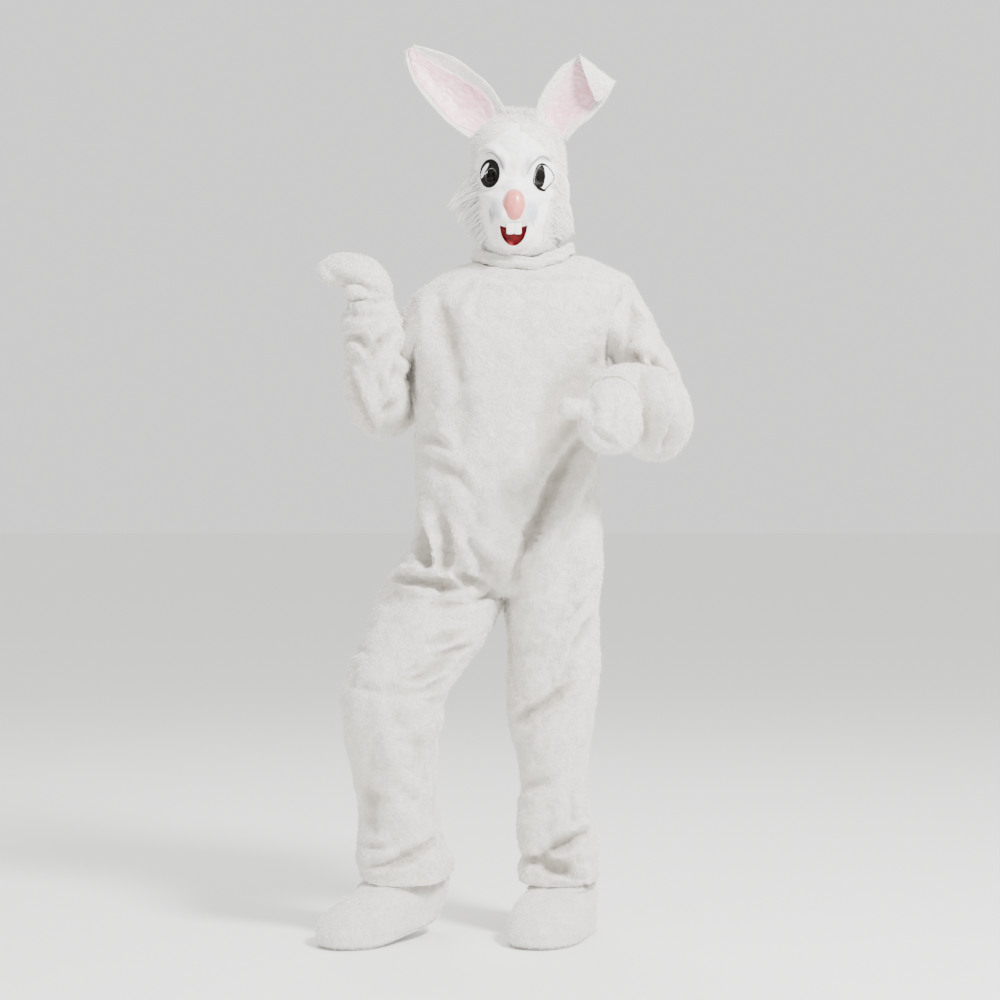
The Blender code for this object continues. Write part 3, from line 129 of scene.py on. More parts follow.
class Cloth:
    """A sewn surface: grids of points, each on the panel that it is cut into."""

    def __init__(self):
        self.grids, self.quads, self.panels, self.count = [], [], [], 0

    def patch(self, panel, grid, flip=False, closed=False):
        """Adds a grid of points, rows by columns. Returns the numbers of its points before sewing."""
        grid = np.asarray(grid)
        number = self.count + np.arange(grid.shape[0] * grid.shape[1]).reshape(grid.shape[:2])
        ring = np.hstack([number, number[:, :1]]) if closed else number
        quads = np.stack([ring[:-1, :-1], ring[:-1, 1:], ring[1:, 1:], ring[1:, :-1]], axis=-1).reshape(-1, 4)
        self.quads.append(quads[:, ::-1] if flip else quads)
        self.panels += [panel] * len(quads)
        self.grids.append(grid.reshape(-1, 3))
        self.count += len(self.grids[-1])
        return number

    def sew(self):
        """Joins points that lie in one place."""
        points = np.vstack(self.grids)
        key = np.round(points * 1e6 + 0.137).astype(np.int64)
        _, first, self.sewn = np.unique(key, axis=0, return_index=True, return_inverse=True)
        self.sewn = self.sewn.reshape(-1)
        self.points = points[first]
        self.faces = self.sewn[np.vstack(self.quads)]
        self.panels = np.array(self.panels)
        self.depth = np.zeros(len(self.points))

    def raise_by(self, height):
        """Moves each point along its normal, and keeps how deep it lies in a fold."""
        self.points = self.points + cloth_normals(self.points, self.faces) * height[:, None]
        self.depth = self.depth + height

    def relax(self, share, rounds=1):
        """Moves each point towards the middle of its neighbours by its share."""
        start, end = self.faces.reshape(-1), np.roll(self.faces, -1, axis=1).reshape(-1)
        count = np.bincount(start, minlength=len(self.points)) + np.bincount(end, minlength=len(self.points))
        for _ in range(rounds):
            total = np.zeros_like(self.points)
            np.add.at(total, start, self.points[end])
            np.add.at(total, end, self.points[start])
            self.points = self.points + (total / count[:, None] - self.points) * share[:, None]

    def tree(self):
        return BVHTree.FromPolygons(self.points.tolist(), self.faces.tolist())

    def wall(self, thickness, panel="all", tuck=0.0010, gap=0.00012):
        """(points, faces, fold depths) of one panel's closed wall. Its edges are tucked in, as at a seam."""
        used, faces = np.unique(self.faces[self.panels == panel], return_inverse=True)
        faces = faces.reshape(-1, 4)
        outer = self.points[used]
        normal = cloth_normals(outer, faces)
        edges = cloth_edges(faces)
        inward = np.zeros_like(outer)
        middles = outer[faces].mean(axis=1)
        for corner in range(4):
            np.add.at(inward, faces[:, corner], middles - outer[faces[:, corner]])
        inward -= normal * (inward * normal).sum(axis=1, keepdims=True)
        rim = np.unique(edges)
        outer = outer.copy()
        outer[rim] += unit(inward[rim]) * gap - normal[rim] * tuck
        inner = outer - normal * thickness
        shift = len(outer)
        sides = np.stack([edges[:, 1], edges[:, 0], edges[:, 0] + shift, edges[:, 1] + shift], axis=1)
        depth = np.concatenate([self.depth[used]] * 2)
        return np.vstack([outer, inner]), np.vstack([faces, faces[:, ::-1] + shift, sides]), depth


def sewn(grid, **how):
    """A cloth of one grid, sewn."""
    form = Cloth()
    form.patch("all", grid, **how)
    form.sew()
    return form


def piece(name, material, points, faces, depth=None, sharp=60):
    """A mesh object. Corners that are the same point twice are dropped."""
    data = bpy.data.meshes.new(name)
    corners = [list(dict.fromkeys(face)) for face in np.asarray(faces).tolist()]
    data.from_pydata(np.asarray(points).tolist(), [], [face for face in corners if len(face) > 2])
    # The fold attribute is how deep each point lies in a fold; the materials paint shade into the creases from
    # it.
    if depth is not None:
        kept = data.attributes.new("fold", "FLOAT", "POINT")
        kept.data.foreach_set("value", np.clip(-np.asarray(depth) / FULL_FOLD, -1, 1).astype(np.float32))
    data.shade_smooth()
    data.set_sharp_from_angle(angle=math.radians(sharp))
    data.materials.append(material)
    made = bpy.data.objects.new(name, data)
    bpy.context.scene.collection.objects.link(made)
    return made


def new_group(name, inputs, outputs):
    """An empty node group with those sockets: {name: (kind, default)} and {name: kind}."""
    group = bpy.data.node_groups.new(name, "ShaderNodeTree")
    for socket, (kind, default) in inputs.items():
        made = group.interface.new_socket(socket, in_out="INPUT", socket_type=kind)
        made.default_value = default
    for socket, kind in outputs.items():
        group.interface.new_socket(socket, in_out="OUTPUT", socket_type=kind)
    return group, group.nodes.new("NodeGroupInput"), group.nodes.new("NodeGroupOutput")


def add_node(tree, kind, settings=(), **inputs):
    """A node with its settings and inputs. An input is a number, a colour or another node's output."""
    node = tree.nodes.new(kind)
    for name, value in dict(settings).items():
        setattr(node, name, value)
    for name, value in inputs.items():
        place = int(name[1:]) if name[0] == "_" else name.replace("_", " ")
        if isinstance(value, bpy.types.NodeSocket):
            tree.links.new(value, node.inputs[place])
        else:
            node.inputs[place].default_value = value
    return node


def blend_colour(tree, share, first, second):
    """The colour of two, mixed by a share."""
    return add_node(tree, "ShaderNodeMix", {"data_type": "RGBA"}, _0=share, _6=first, _7=second).outputs[2]


def noise_of(tree, **inputs):
    """Noise in the object's own space, from 0 to 1."""
    place = add_node(tree, "ShaderNodeTexCoord").outputs["Object"]
    return add_node(tree, "ShaderNodeTexNoise", Vector=place, **inputs).outputs["Fac"]


def ranged(tree, value, low, high, to_low=0.0, to_high=1.0, kind="LINEAR"):
    """A value carried from one range to another."""
    return add_node(tree, "ShaderNodeMapRange", {"interpolation_type": kind}, Value=value, From_Min=low,
                    From_Max=high, To_Min=to_low, To_Max=to_high).outputs[0]


def worked_out(tree, operation, *values):
    """What a Math node makes of its values."""
    inputs = {f"_{i}": value for i, value in enumerate(values)}
    return add_node(tree, "ShaderNodeMath", {"operation": operation}, **inputs).outputs[0]


def new_material(name, **settings):
    """A material, its tree, and its shader with those settings."""
    material = bpy.data.materials.new(name)
    material.use_nodes = True
    shader = material.node_tree.nodes["Principled BSDF"]
    for socket, value in settings.items():
        shader.inputs[socket.replace("_", " ")].default_value = value
    return material, material.node_tree, shader


# How pile lies: patches of it brushed this way and that, and its tufts. Its colour holds painted shade and
# sheen: the brushed patches and the hollows between the tufts are tinted towards the Shade colour.
pile_nap, nap_in, nap_out = new_group(
    "pile_nap",
    {
        "Cloth": ("NodeSocketColor", (0.9, 0.88, 0.84, 1)),
        "Shade": ("NodeSocketColor", (0.8, 0.76, 0.7, 1)),
        "Patches": ("NodeSocketFloat", 42.0),
        "Tufts": ("NodeSocketFloat", 260.0),
    },
    {"Color": "NodeSocketColor", "Height": "NodeSocketFloat", "Roughness": "NodeSocketFloat"},
)
nap_patches = noise_of(pile_nap, Scale=nap_in.outputs["Patches"], Detail=8.0, Roughness=0.68, Distortion=1.8)
nap_tufts = noise_of(pile_nap, Scale=nap_in.outputs["Tufts"], Detail=3.0, Roughness=0.65, Distortion=0.5)
nap_share = ranged(pile_nap, nap_patches, 0.38, 0.66, kind="SMOOTHSTEP")
nap_fleck = ranged(pile_nap, nap_tufts, 0.32, 0.62, 0.55, 0.0)
nap_amount = add_node(
    pile_nap, "ShaderNodeMath", {"operation": "MULTIPLY_ADD", "use_clamp": True}, _0=nap_share, _1=0.75,
    _2=nap_fleck,
)
nap_colour = blend_colour(pile_nap, nap_amount.outputs[0], nap_in.outputs["Cloth"], nap_in.outputs["Shade"])
for value, socket in (
    (nap_colour, "Color"),
    (worked_out(pile_nap, "MULTIPLY_ADD", nap_patches, 2.2, nap_tufts), "Height"),
    (ranged(pile_nap, nap_tufts, 0.3, 0.7, 0.98, 0.78), "Roughness"),
):
    pile_nap.links.new(value, nap_out.inputs[socket])


def plush_material(name, cloth, shade, crease_shade, patches=42.0, tufts=300.0, bump=0.75, sheen=0.3):
    """Pile on its backing, with painted shade in its folds: the crease colour is painted deep in a fold, where
    shade falls.
    """
    material, tree, shader = new_material(name, Sheen_Weight=sheen, Sheen_Roughness=0.55,
                                          Specular_IOR_Level=0.2)
    nap = add_node(tree, "ShaderNodeGroup", {"node_tree": pile_nap}, Cloth=(*cloth, 1), Shade=(*shade, 1),
                   Patches=patches, Tufts=tufts)
    fold = add_node(tree, "ShaderNodeAttribute", {"attribute_name": "fold"}).outputs["Fac"]
    # Painted shade: the deeper in a fold, the more the colour goes towards the crease colour.
    deep = ranged(tree, fold, 0.1, 1.5, 0.0, 0.95, "SMOOTHSTEP")
    relief = add_node(tree, "ShaderNodeBump", Height=nap.outputs["Height"], Strength=bump, Distance=0.0045)
    tree.links.new(blend_colour(tree, deep, nap.outputs["Color"], (*crease_shade, 1)), shader.inputs["Base Color"])
    tree.links.new(nap.outputs["Roughness"], shader.inputs["Roughness"])
    tree.links.new(relief.outputs[0], shader.inputs["Normal"])
    return material


TORSO = table(
    "zr zl zf zb xr xl yf yb square",
    [
        (-0.706, -0.706, -0.706, -0.706, -0.292, 0.177, -0.138, 0.146, 3.4),   # fork
        (-0.650, -0.650, -0.650, -0.650, -0.262, 0.181, -0.151, 0.157, 2.9),
        (-0.590, -0.590, -0.590, -0.590, -0.222, 0.180, -0.159, 0.163, 2.6),   # hips
        (-0.530, -0.530, -0.530, -0.530, -0.209, 0.176, -0.160, 0.158, 2.4),
        (-0.460, -0.460, -0.460, -0.460, -0.210, 0.176, -0.156, 0.148, 2.4),   # waist
        (-0.380, -0.380, -0.380, -0.375, -0.212, 0.178, -0.156, 0.140, 2.4),
        (-0.300, -0.300, -0.305, -0.290, -0.213, 0.183, -0.156, 0.136, 2.4),
        (-0.215, -0.205, -0.235, -0.205, -0.215, 0.192, -0.153, 0.132, 2.4),   # underarm
        (-0.165, -0.150, -0.175, -0.135, -0.226, 0.220, -0.149, 0.132, 2.4),
        (-0.115, -0.090, -0.118, -0.072, -0.230, 0.246, -0.141, 0.128, 2.3),
        (-0.071, -0.040, -0.076, -0.022, -0.214, 0.244, -0.128, 0.116, 2.2),   # shoulder points
        (-0.036, -0.013, -0.047, 0.000, -0.165, 0.197, -0.111, 0.102, 2.1),
        (-0.012, 0.008, -0.032, 0.008, -0.119, 0.152, -0.097, 0.089, 2.0),
        (-0.002, 0.012, -0.026, 0.012, -0.088, 0.118, -0.090, 0.080, 2.0),     # neck seam
    ],
)
RIGHT_LEG = table(
    "z x_out x_in yc deep dip",
    [
        (-0.706, -0.292, FORK_X, 0.004, 0.142, 0.0),
        (-0.751, -0.3076, -0.040, -0.012, 0.133, 0.0),
        (-0.792, -0.3211, -0.065, -0.032, 0.124, 0.0),
        (-0.832, -0.3400, -0.096, -0.050, 0.115, 0.0),
        (-0.873, -0.3550, -0.122, -0.063, 0.107, 0.0),
        (-0.914, -0.3604, -0.149, -0.070, 0.101, 0.0),
        (-0.956, -0.3566, -0.152, -0.066, 0.098, 0.0),
        (-1.020, -0.3510, -0.165, -0.052, 0.093, 0.0),
        (-1.083, -0.3378, -0.167, -0.036, 0.090, 0.0),
        (-1.150, -0.3300, -0.161, -0.020, 0.090, 0.0),
        (-1.213, -0.3333, -0.147, -0.012, 0.094, 0.004),
        (-1.246, -0.3385, -0.134, -0.010, 0.100, 0.010),
        (-1.278, -0.3330, -0.131, -0.010, 0.100, 0.0168),      # hem
    ],
)
LEFT_LEG = table(
    "z x_out x_in yc deep dip",
    [
        (-0.706, 0.177, FORK_X, 0.004, 0.142, 0.0),
        (-0.752, 0.177, -0.0215, 0.006, 0.131, 0.0),
        (-0.805, 0.176, -0.0125, 0.008, 0.121, 0.0),
        (-0.857, 0.175, -0.0170, 0.006, 0.112, 0.0),
        (-0.920, 0.168, -0.0185, 0.002, 0.104, 0.0),
        (-0.983, 0.158, -0.0140, 0.004, 0.098, 0.0),
        (-1.029, 0.151, 0.0000, 0.008, 0.093, 0.0),
        (-1.103, 0.146, 0.0120, 0.014, 0.087, 0.0),
        (-1.141, 0.151, 0.0074, 0.016, 0.088, 0.0),
        (-1.187, 0.166, 0.0031, 0.018, 0.092, 0.0),
        (-1.225, 0.173, 0.0063, 0.018, 0.096, 0.004),
        (-1.250, 0.170, 0.0140, 0.018, 0.090, 0.008),
        (-1.273, 0.175, 0.0030, 0.016, 0.102, 0.010),
        (-1.292, 0.174, 0.0060, 0.014, 0.100, 0.0085),         # hem
    ],
)



def fold_table(rows):
    """Folds in millimetres, each a curve by three points as seen from the front.

    facing is -1 on the front and +1 on the back. depth is below 0 in a trough and above 0 on a ridge.
    """
    return table("facing x0 z0 x1 z1 x2 z2 depth width", np.array(rows, float) / ([1] + [1000] * 8))


BODY_FOLDS = fold_table([
    # chest, right side
    (-1, -160, -85, -150, -150, -112, -252, -9, 20), (-1, -192, -90, -188, -170, -190, -270, 7, 20),
    (-1, -122, -250, -106, -320, -112, -390, -6, 20), (-1, -90, -45, -120, -75, -128, -110, -4, 10),
    (-1, -60, -52, -88, -90, -86, -130, -3, 10),
    # under the slumped collar
    (-1, -75, -34, 10, -52, 150, -34, -5, 9), (-1, -60, -48, 20, -68, 120, -52, 3, 9),
    # along the left armhole
    (-1, 224, -60, 212, -140, 184, -206, -10, 12), (-1, 196, -85, 186, -140, 160, -200, 5, 14),
    # slack under the left arm
    (-1, 150, -230, 100, -300, 60, -400, -12, 42),
    # drape from the left side to the fork
    (-1, 135, -385, 78, -455, -4, -668, -16, 15), (-1, 172, -369, 110, -500, 18, -640, 14, 16),
    (-1, 92, -480, 30, -570, 0, -640, -7, 12), (-1, 158, -540, 145, -630, 125, -700, 9, 14),
    (-1, 172, -575, 160, -630, 146, -680, -9, 10),
    # crumples at the right waist
    (-1, -202, -362, -166, -376, -128, -407, -5, 9), (-1, -195, -386, -150, -402, -120, -430, 4, 9),
    (-1, -192, -408, -140, -430, -104, -475, -7, 13), (-1, -110, -450, -85, -500, -70, -560, -5, 14),
    # right hip
    (-1, -206, -540, -190, -600, -180, -640, -14, 13), (-1, -190, -498, -166, -580, -168, -648, 10, 12),
    (-1, -152, -540, -148, -600, -150, -645, -10, 11), (-1, -98, -585, -62, -640, -28, -685, -10, 11),
    (-1, -130, -565, -100, -620, -90, -650, 5, 12),
    # across the raised thigh
    (-1, -250, -659, -180, -668, -118, -680, -14, 9), (-1, -240, -638, -170, -650, -100, -656, 7, 9),
    (-1, -132, -648, -90, -664, -45, -690, -12, 8), (-1, -170, -716, -105, -716, -50, -696, -8, 7),
    # right knee, towards the inside
    (-1, -197, -791, -150, -787, -112, -770, -7, 8), (-1, -224, -847, -176, -826, -100, -800, -11, 8),
    (-1, -205, -838, -160, -820, -120, -802, 5, 7), (-1, -218, -866, -171, -852, -135, -830, -11, 9),
    (-1, -190, -892, -160, -880, -150, -862, -6, 8), (-1, -330, -880, -260, -892, -200, -888, -4, 10),
    (-1, -310, -925, -250, -930, -200, -922, 3, 10), (-1, -270, -952, -240, -962, -215, -960, -3, 8),
    # down the right shin
    (-1, -276, -930, -258, -1040, -216, -1195, 7, 24), (-1, -245, -1075, -222, -1110, -200, -1140, -6, 14),
    (-1, -310, -1080, -306, -1150, -295, -1190, -7, 16),
    # right ankle
    (-1, -322, -1208, -295, -1218, -268, -1214, -6, 8), (-1, -300, -1252, -240, -1246, -165, -1206, -10, 9),
    (-1, -320, -1236, -290, -1240, -250, -1232, 5, 9),
    # left thigh
    (-1, 165, -660, 140, -715, 98, -742, 9, 12), (-1, 162, -680, 130, -725, 104, -748, -9, 9),
    (-1, 164, -700, 140, -750, 93, -816, 8, 10), (-1, 162, -735, 130, -772, 108, -812, -9, 10),
    # left knee
    (-1, 5, -944, 66, -930, 125, -876, -12, 10), (-1, 150, -862, 113, -898, 60, -944, 7, 10),
    (-1, 115, -826, 100, -850, 105, -880, -6, 10), (-1, -15, -952, 10, -960, 30, -956, -6, 8),
    (-1, 12, -1087, 40, -1092, 75, -1080, -6, 10), (-1, 96, -1110, 85, -1150, 88, -1180, 5, 8),
    (-1, 120, -1110, 116, -1150, 130, -1180, -6, 8),
    # left ankle
    (-1, 48, -1242, 85, -1205, 160, -1190, -15, 10), (-1, 60, -1215, 90, -1185, 150, -1172, 6, 9),
    (-1, -5, -1246, 70, -1246, 138, -1280, -15, 9), (-1, 95, -1226, 120, -1232, 150, -1238, 6, 11),
    # shoulder blades
    (1, -150, -85, -118, -160, -125, -250, -6, 16), (1, -190, -120, -160, -210, -120, -290, 5, 18),
    (1, 172, -75, 150, -150, 112, -215, -7, 14), (1, 120, -190, 90, -260, 95, -345, -4, 18),
    (1, 205, -110, 190, -200, 165, -260, 5, 18), (1, -90, -75, -10, -100, 100, -70, -4, 12),
    # slack above the seat
    (1, -185, -380, -120, -405, -50, -395, -6, 12), (1, -200, -430, -130, -470, -80, -545, -7, 14),
    (1, 165, -400, 120, -425, 85, -470, -6, 12), (1, 172, -455, 110, -520, 50, -535, -7, 15),
    (1, -160, -450, -100, -510, -70, -580, 5, 16), (1, 150, -480, 110, -560, 60, -600, 5, 16),
    # under the seat
    (1, -235, -700, -170, -735, -80, -722, -8, 12), (1, -220, -745, -150, -765, -90, -750, -4, 10),
    (1, 160, -720, 100, -745, 40, -725, -8, 12),
    # backs of the knees
    (1, -350, -880, -290, -905, -215, -880, -8, 10), (1, -330, -925, -250, -960, -190, -940, -6, 10),
    (1, -300, -965, -260, -985, -220, -975, -4, 8), (1, 5, -905, 60, -935, 150, -915, -8, 10),
    (1, 20, -965, 90, -975, 145, -940, -5, 10),
    # backs of the ankles
    (1, -310, -1190, -240, -1225, -165, -1215, -7, 10), (1, -290, -1240, -230, -1255, -170, -1240, -5, 9),
    (1, 25, -1195, 80, -1225, 160, -1185, -9, 10), (1, 10, -1245, 90, -1262, 160, -1250, -8, 9),
    (1, 120, -1090, 100, -1140, 110, -1170, -4, 10),
])
CURVE_STEPS = 8
FOLD_SCALE = 1.6


def fold_heights(folds, points, normals, scale=1.0):
    """How far the folds move each point: a soft valley or ridge, with a low swell along both sides."""
    place = points[:, [0, 2]]
    total = np.zeros(len(points))
    for fold in lines_of(folds):
        first, middle, last = [np.array([fold[f"x{i}"], fold[f"z{i}"]]) for i in range(3)]
        reach = 3.5 * fold["width"]
        ends = np.stack([first, middle, last])
        low, high = ends.min(axis=0) - reach, ends.max(axis=0) + reach
        seen = normals[:, 1] * fold["facing"] > 0
        near = np.nonzero(((place > low) & (place < high)).all(axis=1) & seen)[0]
        best = np.full(len(near), 1e9)
        along = np.zeros(len(near))
        for step in range(CURVE_STEPS):
            ends = [(1 - t) ** 2 * first + 2 * t * (1 - t) * middle + t * t * last
                    for t in (step / CURVE_STEPS, (step + 1) / CURVE_STEPS)]
            run = ends[1] - ends[0]
            t = np.clip(((place[near] - ends[0]) @ run) / (run @ run), 0, 1)
            away = np.linalg.norm(place[near] - ends[0] - t[:, None] * run, axis=1)
            along = np.where(away < best, (step + t) / CURVE_STEPS, along)
            best = np.minimum(best, away)
        width = fold["width"] * (0.75 + 0.5 * np.sin(math.pi * along))
        strength = 0.35 + 0.65 * np.sin(math.pi * np.clip(along * 0.9 + 0.05, 0, 1))
        s = best / width
        shape = np.exp(-(s**2)) - 0.28 * np.exp(-(((s - 1.9) / 0.8) ** 2))
        facing = smooth((normals[near, 1] * fold["facing"] - 0.02) / 0.5)
        total[near] += fold["depth"] * shape * strength * facing
    return total * scale


def rumple(points, scale, seed):
    """Smooth noise from about -1 to 1 at each point."""
    shift = Vector((seed * 7.31, seed * 3.17, seed * 5.53))
    return np.array([noise.noise(Vector(p) / scale + shift) for p in points])


def crumples(points, scale, seed, sharp=0.13):
    """Scattered soft creases, 0 on plain cloth and 1 at the bottom of one, where a noise crosses zero."""
    line = np.exp(-((rumple(points, scale, seed) / sharp) ** 2))
    return line * smooth(0.5 + 1.6 * rumple(points, scale * 1.7, seed + 50))


def ring_points(ring, angle):
    """Points of a body or head ring. angle is 0 at the left, 90 degrees at the back, 180 at the right."""
    c, s = np.cos(angle), np.sin(angle)
    power = 2 / ring["square"]
    middle, half = (ring["xl"] + ring["xr"]) / 2, (ring["xl"] - ring["xr"]) / 2
    x = middle + half * signed_power(c, power)
    y = np.abs(s) ** power * np.where(s > 0, ring["yb"], ring["yf"])
    across = (1 + signed_power(c, power)) / 2
    side_z = ring["zr"] + (ring["zl"] - ring["zr"]) * across
    centre_z = np.where(s > 0, ring["zb"], ring["zf"])
    return np.stack([x, y, side_z + (centre_z - side_z) * s * s], axis=-1)


def leg_points(ring, angle):
    """Points of a leg ring. angle is 0 at the outside, 90 degrees at the back, 180 at the inseam."""
    c, s = np.cos(angle), np.sin(angle)
    middle, half = (ring["x_out"] + ring["x_in"]) / 2, (ring["x_out"] - ring["x_in"]) / 2
    x = middle + half * signed_power(c, LEG_ROUND)
    y = ring["yc"] + ring["deep"] * signed_power(s, LEG_ROUND)
    return np.stack([x, y, ring["z"] - ring["dip"] * np.maximum(-s, 0)], axis=-1)


def body_row(position, side, face):
    """A row of the body above the fork, from the side seam, or the armhole, to the centre."""
    k = np.linspace(0, 1, QUARTER + 1)
    ring = table_row(TORSO, position)
    bite = 0.0
    if UNDERARM < position < SHOULDER:
        bite = ARMHOLE_BITE * math.sin(math.pi * (position - UNDERARM) / (SHOULDER - UNDERARM)) ** 0.75
    quarter = bite + (math.pi / 2 - bite) * k
    angle = quarter if side > 0 else math.pi - quarter
    points = ring_points(ring, angle if face == "back" else -angle)
    t = min(position / BLEND_TOP, 1.0)
    if t == 1:
        return points
    hooked = 1 - math.sqrt(1 - (1 - t) ** 2)
    share = (hooked + (float(smooth(1 - t)) - hooked) * (1 - k**2))[:, None]
    leg = {"z": ring["zf"], "x_out": ring["xl"] if side > 0 else ring["xr"], "x_in": FORK_X,
           "yc": (ring["yb"] + ring["yf"]) / 2, "deep": (ring["yb"] - ring["yf"]) / 2, "dip": 0.0}
    turn = math.pi * k if face == "back" else -math.pi * k
    return points * (1 - share) + leg_points(leg, turn) * share


def panel_of(side, face):
    if face == "front":
        return "front"
    return "back_left" if side > 0 else "back_right"


body = Cloth()
blend_positions = [BLEND_TOP * (i / 30) ** 1.6 for i in range(30)]
plain_positions = [BLEND_TOP + i * (UNDERARM - BLEND_TOP) / 66 for i in range(66)]
armhole_positions = [UNDERARM + i * (SHOULDER - UNDERARM) / ARMHOLE_ROWS for i in range(ARMHOLE_ROWS)]
yoke_positions = [SHOULDER + i * (NECK - SHOULDER) / 18 for i in range(19)]
body_positions = blend_positions + plain_positions + armhole_positions + yoke_positions
underarm_row, shoulder_row = len(blend_positions + plain_positions), len(body_positions) - 19
quarters = {}
for side in (1, -1):
    leg = LEFT_LEG if side > 0 else RIGHT_LEG
    last = len(leg["z"]) - 1
    for face in ("front", "back"):
        grid = [body_row(position, side, face) for position in body_positions]
        quarters[side, face] = body.patch(panel_of(side, face), grid, flip=(side > 0) == (face == "front"))
        turn = math.pi * np.linspace(0, 1, QUARTER + 1) * (1 if face == "back" else -1)
        legs = [leg_points(table_row(leg, last * n / LEG_ROWS), turn) for n in range(1, LEG_ROWS + 1)]
        body.patch(panel_of(side, face), [grid[0], *legs], flip=(side > 0) != (face == "front"))
body.sew()
for side, face in quarters:
    quarters[side, face] = body.sewn[quarters[side, face]]

# The seams at the fork pull into soft curves.
from_fork = body.points[:, 2] - FORK_Z
body.relax(0.5 * np.exp(-((from_fork / 0.035) ** 2)), rounds=14)

# Slack and crumples over the whole body, small on the shoulders and larger towards the knees.
body.raise_by(fold_heights(BODY_FOLDS, body.points, cloth_normals(body.points, body.faces), FOLD_SCALE))
loose = smooth((-0.05 - body.points[:, 2]) / 0.5)
stretched = body.points * [1.0, 1.0, 0.55]
body.raise_by(0.0060 * loose * rumple(stretched, 0.085, 1) + 0.0040 * rumple(body.points, 0.036, 2)
              + 0.0019 * rumple(body.points, 0.015, 3))
slanted = body.points @ np.array([[1.0, 0, 0.35], [0, 1.0, 0], [-0.2, 0, 0.8]])
creased = 0.0052 * crumples(slanted, 0.075, 4) + 0.0026 * crumples(slanted, 0.034, 5)
body.raise_by(-(0.25 + 0.75 * loose) * creased)

WHITE = (0.94, 0.915, 0.865)
WARM_SHADE = (0.78, 0.735, 0.66)
# The colour painted deep in the folds, as shade.
CREASE_SHADE = (0.555, 0.51, 0.435)
jumpsuit_plush = plush_material("jumpsuit_plush", WHITE, WARM_SHADE, CREASE_SHADE)
pile_fibre = plush_material("pile_fibre", (0.95, 0.93, 0.89), (0.84, 0.80, 0.735), CREASE_SHADE, bump=0.0)


def pile(name, points, faces, count, length, width, nap, seed, material=pile_fibre, keep=None, depth=None):
    """Loose fibres that catch the light: thin blades, brushed along the nap. keep says which roots stay."""
    random = np.random.default_rng(seed)
    size = np.linalg.norm(face_normals(points, faces), axis=1)
    chosen = random.choice(len(faces), count, p=size / size.sum())
    corners = points[faces[chosen]]
    u, v = random.random((2, count, 1))
    near_side, far_side = [corners[:, a] * (1 - u) + corners[:, b] * u for a, b in ((0, 1), (3, 2))]
    root = near_side * (1 - v) + far_side * v
    out = unit(face_normals(points, faces)[chosen])
    if keep is not None:
        kept = keep(root, out)
        root, out, chosen = root[kept], out[kept], chosen[kept]
    swirl = np.sin(root @ np.array([[83.0, 41.0], [57.0, 91.0], [71.0, -63.0]]) + [0.3, 1.7])
    comb = np.array(nap, float) + swirl[:, [0, 1, 1]] * [0.55, 0.3, 0.35]
    comb = unit(comb - out * (comb * out).sum(axis=1, keepdims=True))
    way = unit(out * 0.55 + comb * 0.75 + random.normal(size=root.shape) * 0.28)
    reach = length * (0.6 + 0.6 * random.random((len(root), 1)))
    across = unit(np.cross(way, random.normal(size=root.shape))) * width / 2
    root = root - out * 0.0006
    blades = np.stack([root - across, root + across, root + way * reach], axis=1).reshape(-1, 3)
    triangles = np.arange(len(blades)).reshape(-1, 3)
    # Each fibre takes the fold depth of its root, for the painted crease shade.
    deep = np.zeros(len(blades)) if depth is None else np.repeat(depth[faces[chosen][:, 0]], 3)
    return piece(name, material, blades, triangles, deep)


DOWN = (0, 0, -1)
FRONT_FLAT, BACK_FLAT = (0.80, 1.36), (0.44, 1.36)
for panel, flat, fibres in (("front", FRONT_FLAT, 60000), ("back_left", BACK_FLAT, 30000),
                            ("back_right", BACK_FLAT, 30000)):
    made = piece(f"jumpsuit_{panel}", jumpsuit_plush, *body.wall(PLUSH, panel))
    fuzz = pile(f"jumpsuit_{panel}_pile", body.points, body.faces[body.panels == panel], fibres, 0.0075,
                0.0010, DOWN, 11, depth=body.depth)
    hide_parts(panel)
    for part in (made, fuzz):
        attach(part, "root")


# The placket: a plain strip of the same plush over the closing down the middle of the back, which is done up
# with hook and loop beneath it. It is sewn down along one edge.

PLACKET_HALF = 0.064
PLACKET_TOP, PLACKET_BOTTOM = -0.024, -0.512
PLACKET_LIFT = 0.0028   # its outer face above the cloth beneath
back_tree = body.tree()
strip = []
for z in np.linspace(PLACKET_BOTTOM, PLACKET_TOP, 90):
    row = []
    for x in np.linspace(PLACKET_HALF, -PLACKET_HALF, 20):
        spot, out, _, _ = back_tree.ray_cast(Vector((x, 1.0, z)), Vector((0, -1, 0)))
        row.append(np.array(spot) + np.array(out) * PLACKET_LIFT)
    strip.append(row)
placket = sewn(strip)
placket.raise_by(0.0009 * rumple(placket.points, 0.02, 5))
made = piece("back_placket_strip", jumpsuit_plush, *placket.wall(0.0022))
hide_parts("back_placket")
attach(made, "root")


# The collar: a soft stand-up band of plush on the neck seam, slumped under the mask and unevenly wrinkled all
# round. It is doubled over at its top edge.

